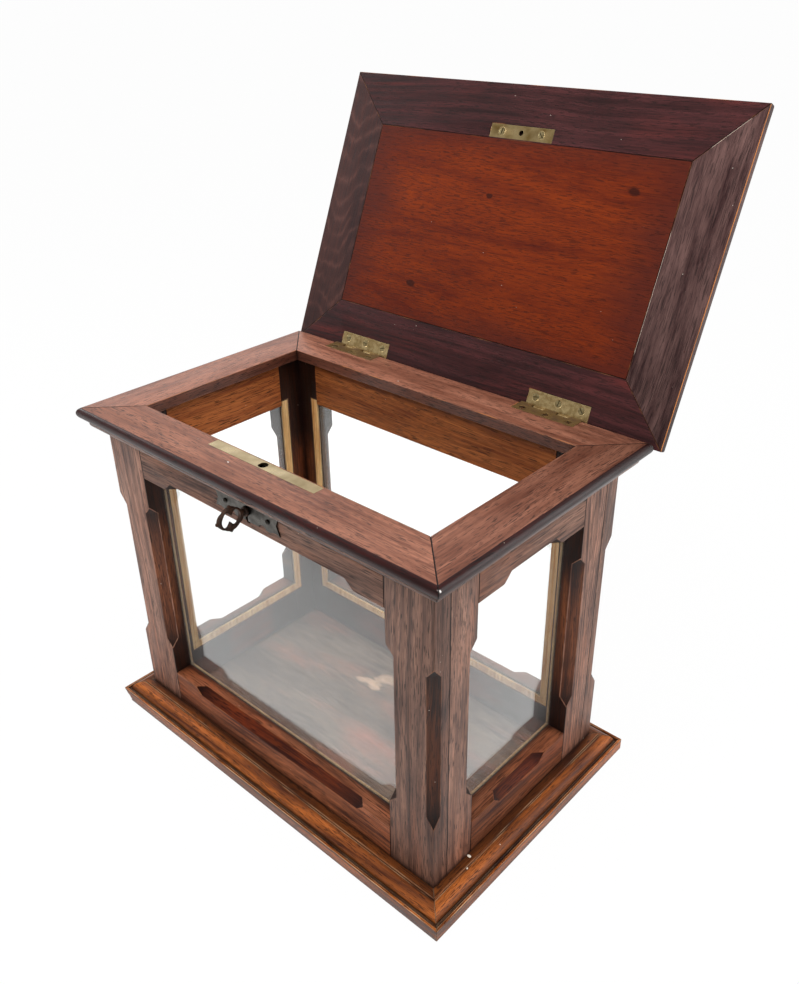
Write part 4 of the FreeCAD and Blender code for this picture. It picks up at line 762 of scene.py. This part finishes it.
def mark_seams(mesh, node):
    """Marks the rounded edges that lie against another board, where dirt fills the joint."""
    low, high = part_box(node)
    trees = []
    for other in WOODEN:
        floor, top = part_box(other)
        meets = all(a <= d + SEAM_REACH and c <= b + SEAM_REACH for a, b, c, d in zip(low, high, floor, top))
        if other != node and meets:
            trees.append(shape_tree(other))
    rounded = [entry.value for entry in mesh.attributes["arris"].data]
    seams = []
    for face in mesh.polygons:
        closed = any(tree.find_nearest(face.center, SEAM_REACH)[0] is not None for tree in trees)
        seams.append(float(closed and rounded[face.index] > 0))
    mesh.attributes.new("seam", "FLOAT", "FACE").data.foreach_set("value", seams)


def finish(mesh, material, node):
    """Puts a finished mesh in the scene in place of its node."""
    mesh.materials.append(material)
    piece = bpy.data.objects.new(node + "_finished", mesh)
    bpy.context.scene.collection.objects.link(piece)
    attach(piece, BODY_OF[node])
    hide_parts(node)


def board(node, material, along, across, tone=TONE_SPREAD, is_bare=None, is_deep=slanting, shift=None,
          lump=None):
    """A wooden piece: its edges eased and its grain laid along it, from its own part of the plank. A lump is
    wood that has broken off it."""
    draw = random.Random(node)
    mesh = eased(merged_copy(node), bpy.context.scene.display_box.wood.arris)
    if lump:
        cut = {"object": lump, "operation": "DIFFERENCE", "solver": "EXACT"}
        mesh = with_modifiers(mesh, ("BOOLEAN", cut))
        mesh.set_sharp_from_angle(angle=SHARP_FROM)
    shift = Vector([draw.uniform(0, PLANK) for _ in range(3)]) if shift is None else shift
    board_brightness = 1 + draw.uniform(-tone, tone)
    lay_grain(mesh, along, across, shift, [board_brightness * share for share in TONES_AND_LIGHT.get(node, (1.0, 1.0))])
    mark_stain_and_shade(mesh, along, is_deep)
    mark_seams(mesh, node)
    if is_bare:
        mark_bare(mesh, is_bare)
    finish(mesh, material, node)


def metal_piece(node, material):
    """A metal fitting with its edges rounded by handling."""
    mesh = eased(merged_copy(node), bpy.context.scene.display_box.metal.edge)
    finish(mesh, material, node)


def run_of(side):
    """Direction of a length that lies along one side of the box."""
    return ALONG_X if side in ("front", "back") else ALONG_Y


def outward_of(side):
    """Direction that a side of the box faces."""
    return {"front": -ALONG_Y, "back": ALONG_Y, "left": -ALONG_X, "right": ALONG_X}[side]


def marks_at(places, stain):
    """Marks of one colour, at places given in millimetres with a radius and a strength."""
    return [(Vector((x, y, z)) * MM, radius, strength, stain) for x, y, z, radius, strength in places]


class DISPLAYBOX_OT_walls(bpy.types.Operator):
    """Finish the stiles and rails of the four walls"""

    bl_idname = "displaybox.walls"
    bl_label = "Walls"

    def execute(self, context):
        colours = context.scene.display_box.wood
        # Oak, sawn, planed, stained dark and waxed: grey-brown with black pores. The rails are redder near
        # the plinth and rubbed further back, and the upper ones' inner faces are only oiled.
        upright, level = [
            wood(name, colours.wall_dark, colours.wall_light, warm=colours.wall_warm, wear=wear,
                 pore_size=0.55, pore_draw=0.045, pore_depth=0.75, shine=shine,
                 bare=(colours.inner_dark, colours.inner_light), foot=foot, ends=0.9)
            for name, wear, shine, foot in (
                ("stained_oak_stiles", 0.22, 0.25, 0.3), ("stained_oak_rails", 0.4, 0.15, 0.9),
            )
        ]
        for side in SIDES:
            run = run_of(side)
            inward = -outward_of(side)
            ends = ("left", "right") if side in ("front", "back") else ("front", "back")
            for end, reveal in zip(ends, (run, -run)):
                # Painted shade, with gathered stain: chamfers, faces turned into the box and reveals beside the
                # panes are painted darker.
                board(f"{side}_{end}_stile", upright, ALONG_Z, run, is_deep=lambda normal: slanting(normal)
                      or max(normal.dot(inward), normal.dot(reveal)) > ALONG_FROM)
            # Painted shade, with gathered stain: chamfers and faces turned into the box are painted darker.
            board(side + "_bottom_rail", level, run, ALONG_Z,
                  is_deep=lambda normal: slanting(normal) or normal.dot(inward) > ALONG_FROM)
            board(side + "_top_rail", level, run, ALONG_Z,
                  is_bare=lambda normal: normal.dot(inward) > ALONG_FROM)
        return {"FINISHED"}


def broken_lump(colours):
    """The rough lump of wood that has broken from the plinth's front left corner, to cut away."""
    draw = random.Random("lump")
    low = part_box("plinth_left")[0]
    inward = Vector((1, 1, colours.chip_height / colours.chip_reach)).normalized()
    shape = bmesh.new()
    bmesh.ops.create_cube(shape, size=LUMP_SIZE)
    bmesh.ops.subdivide_edges(shape, edges=shape.edges, cuts=LUMP_CUTS, use_grid_fill=True)
    for vertex in shape.verts:
        vertex.co.z += draw.uniform(-1, 1) * colours.chip_rough - LUMP_SIZE / 2
    place = Matrix.Translation(low + colours.chip_height * ALONG_Z)
    shape.transform(place @ inward.to_track_quat("Z", "Y").to_matrix().to_4x4())
    mesh = bpy.data.meshes.new("broken_lump")
    shape.to_mesh(mesh)
    shape.free()
    lump = bpy.data.objects.new("broken_lump", mesh)
    bpy.context.scene.collection.objects.link(lump)
    return lump


class DISPLAYBOX_OT_plinth(bpy.types.Operator):
    """Finish the four moulded lengths of the plinth"""

    bl_idname = "displaybox.plinth"
    bl_label = "Plinth"

    def execute(self, context):
        colours = context.scene.display_box.wood
        # Oak, moulded and polished: orange-brown with strong figure, pale rubbed arrises painted paler still as a
        # highlight, dirt with painted shade along the quirks and over the cap, and a few white chips.
        oak = wood("polished_oak_plinth", colours.plinth_dark, colours.plinth_light, ring=6.0, figure=0.7,
                   pore_depth=0.7, gloss=0.34, shine=0.2, coat=0.06, wear=0.8, wear_from=0.4,
                   worn=colours.plinth_worn, seam=0.3, dirt=0.7, bands=PLINTH_DIRT_AND_SHADE_LINES,
                   marks=marks_at(PLINTH_CHIPS, colours.plinth_chip))
        lump = broken_lump(colours)
        for side in SIDES:
            broken = side in ("front", "left")
            board("plinth_" + side, oak, run_of(side), ALONG_Z, is_deep=never, lump=lump if broken else None)
        bpy.data.objects.remove(lump)
        return {"FINISHED"}


class DISPLAYBOX_OT_floor_board(bpy.types.Operator):
    """Finish the floor board with its worn patch"""

    bl_idname = "displaybox.floor_board"
    bl_label = "Floor board"

    def execute(self, context):
        colours = context.scene.display_box.wood
        # Softwood, planed and stained thinly: cloudy and dull, reddish in places, scuffed pale in the middle.
        deal = wood("stained_floor_board", colours.floor_dark, colours.floor_light, warm=colours.floor_warm,
                    figure=0.08, draw=0.1, tone_size=40.0, pore_depth=0.4, gloss=0.5,
                    marks=marks_at(FLOOR_PATCH, colours.floor_patch))
        board("floor_board", deal, ALONG_X, ALONG_Y, tone=0, shift=Vector())
        return {"FINISHED"}


class DISPLAYBOX_OT_top(bpy.types.Operator):
    """Finish the top frame and the bed moulding under it"""

    bl_idname = "displaybox.top"
    bl_label = "Top frame"

    def execute(self, context):
        colours = context.scene.display_box.wood
        # Oak, planed and waxed: red-brown with a soft shine. Its rounded nose is painted nearly black, and its
        # inner edges dark, as painted shade.
        oak = wood("waxed_oak_top", colours.top_dark, colours.top_light, ring=5.0, pore_depth=0.7, gloss=0.34,
                   shine=0.32, coat=0.12, deep=colours.nose, marks=marks_at(TOP_CHIPS, colours.top_chip))
        # Oak, moulded and polished: the walls' colour with more shine, dirt and painted shade in the hollows, and
        # painted shadow lines under the nose.
        moulding = wood("polished_oak_moulding", colours.wall_dark, colours.wall_light, gloss=0.3, shine=0.3,
                        coat=0.1, bands=MOULDING_SHADOW_LINES)
        for side in SIDES:
            outward = outward_of(side)
            # Painted shade: the nose and the inner edges are painted dark.
            board("top_frame_" + side, oak, run_of(side), outward,
                  is_deep=lambda normal: REVEAL_SHADE * (normal.dot(outward) < -ALONG_FROM)
                  + (normal.z < LEVEL_FROM and normal.dot(outward) > NOSE_FROM))
            board("bed_moulding_" + side, moulding, run_of(side), ALONG_Z, is_deep=never)
        return {"FINISHED"}


class DISPLAYBOX_OT_glazing(bpy.types.Operator):
    """Finish the panes and the pale beads that hold them"""

    bl_idname = "displaybox.glazing"
    bl_label = "Glazing"

    def execute(self, context):
        colours = context.scene.display_box.wood
        glass = old_glass(context.scene.display_box.glass)
        # Pine, planed and varnished: straw yellow, and dark on the faces that lie against the panes.
        pine = wood("varnished_pine_beads", colours.bead_dark, colours.bead_light, ring=2.5, pore_depth=0.25,
                    gloss=0.45, deep=colours.bead_back)
        for side in SIDES:
            outward = outward_of(side)
            frame["nodes"][side + "_glass"].data.materials.clear()
            frame["nodes"][side + "_glass"].data.materials.append(glass)
            board(side + "_beads", pine, ALONG_Z, run_of(side),
                  is_deep=lambda normal: normal.dot(outward) > ALONG_FROM)
        return {"FINISHED"}


class DISPLAYBOX_OT_lid(bpy.types.Operator):
    """Finish the lid's mitred frame and its panel"""

    bl_idname = "displaybox.lid"
    bl_label = "Lid"

    def execute(self, context):
        colours = context.scene.display_box.wood
        # Oak, planed and ebonised: nearly black, with a purple cast and redder patches.
        oak = wood("ebonised_oak_lid", colours.lid_dark, colours.lid_light, warm=colours.lid_warm, ring=6.0,
                   pore_depth=0.6, gloss=0.42, shine=0.3, seam=0.55)
        # The same oak, sawn through the heart: arched rings that show as pale lines.
        figured = wood("figured_oak_stile", colours.lid_dark, colours.lid_arc, figure=0.7, crest=3.0,
                       arcs=(14.0, -0.02), tone_size=30.0, pore_depth=0.4, gloss=0.45, shine=0.3, seam=0.55)
        # The same oak, weathered: streaked grey, rough to the light, with pale dust in its open mitres.
        rough = wood("weathered_oak_stile", colours.lid_dark, colours.lid_figure, ring=5.0, figure=0.3,
                     draw=0.1, tone_size=12.0, pore_draw=0.05, pore_depth=0.6, gloss=0.5, shine=0.3, wear=1.0,
                     wear_from=0.25, seam=0.8, chalk=1.0)
        low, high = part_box("lid_panel")
        middle = (low + high) / 2
        half = (high.x / MM, (high - low).yz.length / 2 / MM)
        points = [vertex.co - middle for vertex in frame["nodes"]["lid_panel"].data.vertices]
        face = middle + max(point.dot(LID_FACING) for point in points) * LID_FACING
        knots = [(face + (x * ALONG_X + y * LID_UP) * MM, radius, strength, colours.knot)
                 for x, y, radius, strength in PANEL_KNOTS]
        # Mahogany, planed and French polished: deep orange-red, darker to its edges, with pin knots.
        mahogany = wood("french_polished_mahogany", colours.panel_dark, colours.panel_light, ring=13.0,
                        figure=0.3, draw=0.12, tone_size=30.0, pore_size=0.7, pore_draw=0.1, pore_depth=0.45,
                        gloss=0.42, shine=0.15, seam=0.6, border=(half, colours.panel_edge), marks=knots)
        for name in ("front", "back"):
            board(f"lid_{name}_rail", oak, ALONG_X, LID_UP, is_deep=never)
        board("lid_left_stile", figured, LID_UP, ALONG_X, is_deep=never,
              shift=centred("lid_left_stile", LID_UP, ALONG_X))
        board("lid_right_stile", rough, LID_UP, ALONG_X, is_deep=never)
        board("lid_panel", mahogany, ALONG_X, LID_UP, tone=0, is_deep=never,
              shift=centred("lid_panel", ALONG_X, LID_UP))
        return {"FINISHED"}


class DISPLAYBOX_OT_hinges(bpy.types.Operator):
    """Finish the hinge leaves and their pins"""

    bl_idname = "displaybox.hinges"
    bl_label = "Hinges"

    def execute(self, context):
        colours = context.scene.display_box.metal
        # Brass, rolled and left to tarnish: bright where it is rubbed, olive where it is not.
        brass = aged_metal("tarnished_brass", colours.brass_bright, colours.brass_dull, patch=3.5,
                           rough=(0.2, 0.36), metallic=0.85)
        # Brass, rolled: brown, partly under old wax and dirt and partly painted to stand in for the dark lid that
        # the leaves mirror, with little of the metal left to see.
        dirt_and_reflection = aged_metal("brass_with_dirt_and_reflection", colours.brass_dull, colours.brass_dirt_and_reflection, patch=5.0, metallic=0.7)
        for hand in ("left", "right"):
            metal_piece(hand + "_hinge_frame_leaf", dirt_and_reflection)
            metal_piece(hand + "_hinge_lid_leaf", brass)
        metal_piece("hinge_pins", brass)
        return {"FINISHED"}


class DISPLAYBOX_OT_lock(bpy.types.Operator):
    """Finish the lock, its strike plate and the escutcheon"""

    bl_idname = "displaybox.lock"
    bl_label = "Lock"

    def execute(self, context):
        colours = context.scene.display_box.metal
        # Brass, rolled: the lock's strip is wiped pale, the plate on the lid is dulled in broad patches.
        strip = aged_metal("wiped_brass_selvedge", colours.selvedge_bright, colours.selvedge_dull, patch=14.0)
        plate = aged_metal("dulled_brass_plate", colours.brass_bright, colours.brass_dull, patch=9.0)
        # Steel, stamped and blackened: dark grey with rubbed patches and specks of rust.
        steel = aged_metal("rubbed_steel", colours.iron_bright, colours.iron_dull, patch=4.0,
                           rust=colours.rust)
        metal_piece("lock_case", strip)
        metal_piece("strike_plate", plate)
        for node in ("lock_cap", "lock_bolt", "escutcheon", "escutcheon_pins"):
            metal_piece(node, steel)
        return {"FINISHED"}


class DISPLAYBOX_OT_key(bpy.types.Operator):
    """Finish the key as one rusted casting"""

    bl_idname = "displaybox.key"
    bl_label = "Key"

    def execute(self, context):
        colours = context.scene.display_box.metal
        # Iron, cast and rusted: matt brown over black, with its edges softened.
        rust = aged_metal("rusted_iron", colours.rust, colours.iron_dull, patch=2.5, rough=(0.5, 0.8),
                          metallic=0.6, pit=0.25, rust=colours.fresh_rust)
        mesh = with_modifiers(
            merged_copy("key"),
            ("REMESH", {"mode": "VOXEL", "voxel_size": KEY_VOXEL}),
            ("SMOOTH", KEY_SMOOTHING),
        )
        mesh.name = "key_finished"
        mesh.shade_smooth()
        finish(mesh, rust, "key")
        return {"FINISHED"}


def screw_tree():
    """Node tree that sets a slotted countersunk screw on every point, its slot turned at random."""
    tree = bpy.data.node_groups.new("slotted_screws", "GeometryNodeTree")
    face = tree.interface
    face.new_socket("Points", in_out="INPUT", socket_type="NodeSocketGeometry")
    for name in ("Head Radius", "Dome", "Slot Width", "Slot Depth", "Shank Radius", "Shank Length"):
        face.new_socket(name, in_out="INPUT", socket_type="NodeSocketFloat").subtype = "DISTANCE"
    face.new_socket("Aim", in_out="INPUT", socket_type="NodeSocketVector")
    face.new_socket("Seed", in_out="INPUT", socket_type="NodeSocketInt")
    face.new_socket("Finish", in_out="INPUT", socket_type="NodeSocketMaterial")
    face.new_socket("Screws", in_out="OUTPUT", socket_type="NodeSocketGeometry")
    put = partial(add, tree)
    given = put("NodeGroupInput").node.outputs
    radius, slot = given["Head Radius"], given["Slot Depth"]
    ball = put("GeometryNodeMeshUVSphere", {"Segments": 40, "Rings": 24, "Radius": 1.0})
    oval = put("ShaderNodeCombineXYZ", {0: radius, 1: radius, 2: given["Dome"]})
    sunk = put("ShaderNodeMath", {0: given["Dome"], 1: -1.0}, operation="MULTIPLY")
    sunk = put("ShaderNodeCombineXYZ", {2: sunk})
    dome = put("GeometryNodeTransform", {"Geometry": ball, "Scale": oval, "Translation": sunk})
    reach = put("ShaderNodeMath", {0: radius, 1: 3.0}, operation="MULTIPLY")
    deep = put("ShaderNodeMath", {0: slot, 1: 2.0}, operation="MULTIPLY")
    bar = put("ShaderNodeCombineXYZ", {0: reach, 1: given["Slot Width"], 2: deep})
    bar = put("GeometryNodeMeshCube", {"Size": bar})
    head = put("GeometryNodeMeshBoolean", {0: dome, 1: bar}, operation="DIFFERENCE", solver="EXACT")
    shank = put("GeometryNodeMeshCone", {
        "Vertices": 24, "Radius Top": given["Shank Radius"], "Radius Bottom": radius,
        "Depth": given["Shank Length"],
    })
    down = put("ShaderNodeMath", {0: given["Dome"], 1: slot})
    down = put("ShaderNodeMath", {0: down, 1: -1.0}, operation="MULTIPLY")
    down = put("ShaderNodeCombineXYZ", {2: down})
    shank = put("GeometryNodeTransform", {
        "Geometry": shank, "Rotation": (math.pi, 0, 0), "Translation": down,
    })
    screw = put("GeometryNodeJoinGeometry", {0: head})
    tree.links.new(shank, screw.node.inputs[0])
    aimed = put("FunctionNodeAlignRotationToVector", {"Vector": given["Aim"]}, axis="Z")
    turn = put("FunctionNodeRandomValue", {"Max": math.pi, "Seed": given["Seed"]}, out="Value",
               data_type="FLOAT")
    turn = put("ShaderNodeCombineXYZ", {2: turn})
    turn = put("FunctionNodeEulerToRotation", {0: turn})
    aimed = put("FunctionNodeRotateRotation", {0: aimed, 1: turn}, rotation_space="LOCAL")
    dots = put("GeometryNodeMeshToPoints", {"Mesh": given["Points"]})
    set_out = put("GeometryNodeInstanceOnPoints", {"Points": dots, "Instance": screw, "Rotation": aimed})
    solid = put("GeometryNodeRealizeInstances", {0: set_out})
    solid = put("GeometryNodeSetMaterial", {"Geometry": solid, "Material": given["Finish"]})
    put("NodeGroupOutput", {0: solid})
    return tree


def screw_heads(node, aim):
    """Middle of each screw's head in a node, on the plane of its top, and the heads' radius."""
    shape = welded(node)
    waiting = dict.fromkeys(shape.verts)
    heads = []
    radius = 0
    while waiting:
        reached = [waiting.popitem()[0]]
        for vertex in reached:
            for edge in vertex.link_edges:
                other = edge.other_vert(vertex)
                if other in waiting:
                    waiting.pop(other)
                    reached.append(other)
        top = max(vertex.co.dot(aim) for vertex in reached)
        rim = [vertex.co.copy() for vertex in reached if vertex.co.dot(aim) > top - RIM_DEPTH]
        middle = sum(rim, Vector()) / len(rim)
        radius = max(radius, max((point - middle).length for point in rim))
        heads.append(middle)
    shape.free()
    return heads, radius


class DISPLAYBOX_OT_screws(bpy.types.Operator):
    """Set slotted screws in the hinge leaves and the strike plate"""

    bl_idname = "displaybox.screws"
    bl_label = "Screws"

    def execute(self, context):
        sizes = context.scene.display_box.metal
        # Brass, turned: pale gold where the driver has rubbed it, with black slots.
        brass = aged_metal("rubbed_brass_screws", sizes.screw_bright, sizes.brass_dull, patch=1.6)
        tree = screw_tree()
        names = {item.name: item.identifier for item in tree.interface.items_tree if item.in_out == "INPUT"}
        for node, aim in (("frame_leaf_screws", ALONG_Z), ("lid_leaf_screws", LID_FACING),
                          ("strike_screws", LID_FACING)):
            heads, radius = screw_heads(node, aim)
            points = bpy.data.meshes.new(node + "_points")
            points.from_pydata(heads, [], [])
            holder = bpy.data.objects.new(node + "_points", points)
            context.scene.collection.objects.link(holder)
            modifier = holder.modifiers.new("screws", "NODES")
            modifier.node_group = tree
            chosen = {
                "Head Radius": radius, "Dome": sizes.head_dome, "Slot Width": sizes.slot_width,
                "Slot Depth": sizes.slot_depth, "Shank Radius": SHANK_TAPER * radius,
                "Shank Length": SHANK_LENGTH, "Aim": aim, "Seed": sizes.seed, "Finish": brass,
            }
            for name, value in chosen.items():
                modifier[names[name]] = value
            mesh = bpy.data.meshes.new_from_object(holder.evaluated_get(context.evaluated_depsgraph_get()))
            bpy.data.objects.remove(holder)
            mesh.name = node + "_finished"
            mesh.materials.clear()
            mesh.shade_smooth()
            mesh.set_sharp_from_angle(angle=SCREW_SHARP_FROM)
            finish(mesh, brass, node)
        return {"FINISHED"}


class DISPLAYBOX_OT_stage(bpy.types.Operator):
    """Set up the paper sweep, the soft light and the camera"""

    bl_idname = "displaybox.stage"
    bl_label = "Stage"

    def execute(self, context):
        scene = context.scene
        stage = scene.display_box.stage
        scene.view_settings.view_transform = "Standard"
        lay_paper(stage)
        light_room(scene, stage)
        lamp = hang_lamp(scene, "softbox", stage.softbox_place, stage.softbox_size, stage.softbox_power)
        lamp.visible_glossy = False
        hang_lamp(scene, "side_fill", stage.fill_place, stage.fill_size, stage.fill_power)
        hang_lamp(scene, "glint", stage.glint_place, stage.glint_size, stage.glint_power)
        set_camera(scene, stage)
        return {"FINISHED"}


def level_ahead(stage):
    """The level direction in which the camera looks."""
    ahead = Vector(stage.camera_forward)
    ahead.z = 0
    return ahead.normalized()


def lay_paper(stage):
    """A wide white floor of matt paper, which shows as paper white and keeps a soft shadow."""
    mesh = bpy.data.meshes.new("paper_floor")
    corners = [(x * PAPER_HALF, y * PAPER_HALF, PAPER_DROP) for x, y in ((-1, -1), (1, -1), (1, 1), (-1, 1))]
    mesh.from_pydata(corners, [], [(0, 1, 2, 3)])
    floor = bpy.data.objects.new("paper_floor", mesh)
    bpy.context.scene.collection.objects.link(floor)
    material, put = new_material("white_paper")
    path = put("ShaderNodeLightPath").node.outputs
    seen = put("ShaderNodeMath", {0: path["Is Camera Ray"], 1: path["Is Glossy Ray"]})
    seen = put("ShaderNodeMath", {0: seen, 1: path["Is Transmission Ray"]}, use_clamp=True)
    seen = put("ShaderNodeMath", {0: seen, 1: path["Diffuse Depth"]}, operation="SUBTRACT", use_clamp=True)
    seen = put("ShaderNodeMath", {0: seen, 1: PAPER_WHITE}, operation="MULTIPLY")
    place = put("ShaderNodeTexCoord", out="Object")
    depth = put("ShaderNodeVectorMath", {0: place, 1: level_ahead(stage)}, out="Value",
                operation="DOT_PRODUCT")
    mirrored = put("ShaderNodeMapRange", {
        0: depth, 1: stage.paper_edge - PAPER_FADE, 2: stage.paper_edge,
        3: stage.dark_room, 4: PAPER_MIRRORED,
    })
    level = put("ShaderNodeMix", {0: path["Is Glossy Ray"], 2: 1.0, 3: mirrored})
    level = put("ShaderNodeMix", {0: path["Is Transmission Ray"], 2: level, 3: stage.through_glass})
    lit = put("ShaderNodeBsdfDiffuse", {"Color": stage.paper})
    white = put("ShaderNodeEmission", {"Strength": level})
    both = put("ShaderNodeMixShader", {0: seen, 1: lit, 2: white})
    put("ShaderNodeOutputMaterial", {"Surface": both})
    mesh.materials.append(material)


def light_room(scene, stage):
    """White all round for the eye, soft light on the box, and a darker room behind the camera in
    reflections."""
    world = bpy.data.worlds.new("studio")
    scene.world = world
    world.use_nodes = True
    world.node_tree.nodes.clear()
    put = partial(add, world.node_tree)
    path = put("ShaderNodeLightPath").node.outputs
    way = put("ShaderNodeTexCoord", out="Generated")
    facing = put("ShaderNodeVectorMath", {0: way, 1: level_ahead(stage)}, out="Value",
                 operation="DOT_PRODUCT")
    room = put("ShaderNodeMapRange", {0: facing, 1: ROOM_FROM, 2: ROOM_FULL, 3: stage.dark_room, 4: 1.0})
    through = put("ShaderNodeMath", {0: path["Is Transmission Ray"], 1: path["Diffuse Depth"]},
                  operation="SUBTRACT", use_clamp=True)
    level = put("ShaderNodeMix", {0: path["Is Glossy Ray"], 2: stage.room_light, 3: room})
    level = put("ShaderNodeMix", {0: path["Is Camera Ray"], 2: level, 3: 1.0})
    level = put("ShaderNodeMix", {0: through, 2: level, 3: stage.through_glass})
    sky = put("ShaderNodeBackground", {"Color": (1, 1, 1), "Strength": level})
    put("ShaderNodeOutputWorld", {"Surface": sky})


def hang_lamp(scene, name, place, size, power):
    """A square soft lamp that faces the box."""
    light = bpy.data.lights.new(name, "AREA")
    light.shape = "SQUARE"
    light.size = size
    light.energy = power
    lamp = bpy.data.objects.new(name, light)
    lamp.location = place
    lamp.rotation_euler = (LAMP_AIM - lamp.location).to_track_quat("-Z", "Y").to_euler()
    lamp.visible_camera = False
    scene.collection.objects.link(lamp)
    return lamp


def set_camera(scene, stage):
    """The camera, at the photograph's angle."""
    data = bpy.data.cameras.new("photo_camera")
    data.lens = stage.lens
    data.clip_start = NEAREST_SEEN
    camera = bpy.data.objects.new("photo_camera", data)
    right = Vector(stage.camera_right).normalized()
    back = -Vector(stage.camera_forward).normalized()
    turn = Matrix((right, back.cross(right), back)).transposed()
    camera.matrix_world = Matrix.Translation(Vector(stage.camera_place)) @ turn.to_4x4()
    scene.collection.objects.link(camera)
    scene.camera = camera


class DISPLAYBOX_PT_panel(bpy.types.Panel):
    """Lists the pieces and what may be changed on them"""

    bl_idname = "DISPLAYBOX_PT_panel"
    bl_label = "Display Box"
    bl_space_type = "VIEW_3D"
    bl_region_type = "UI"
    bl_category = "Display Box"

    def draw(self, context):
        settings = context.scene.display_box
        for group in (settings.wood, settings.metal, settings.glass, settings.stage):
            box = self.layout.box()
            for name in group.__annotations__:
                box.prop(group, name)
        for step in STEPS:
            self.layout.operator(step.bl_idname)


STEPS = (
    DISPLAYBOX_OT_walls,
    DISPLAYBOX_OT_plinth,
    DISPLAYBOX_OT_floor_board,
    DISPLAYBOX_OT_top,
    DISPLAYBOX_OT_glazing,
    DISPLAYBOX_OT_lid,
    DISPLAYBOX_OT_hinges,
    DISPLAYBOX_OT_screws,
    DISPLAYBOX_OT_lock,
    DISPLAYBOX_OT_key,
    DISPLAYBOX_OT_stage,
)
GROUPS = (WoodSettings, MetalSettings, GlassSettings, StageSettings, DisplayBoxSettings)
CLASSES = (*GROUPS, *STEPS, DISPLAYBOX_PT_panel)


def register():
    for entry in CLASSES:
        bpy.utils.register_class(entry)
    bpy.types.Scene.display_box = PointerProperty(type=DisplayBoxSettings)


def unregister():
    del bpy.types.Scene.display_box
    for entry in reversed(CLASSES):
        bpy.utils.unregister_class(entry)


def main():
    """Finishes every piece and sets the stage."""
    register()
    for step in STEPS:
        group, name = step.bl_idname.split(".")
        getattr(getattr(bpy.ops, group), name)()


if __name__ == "__main__":
    main()
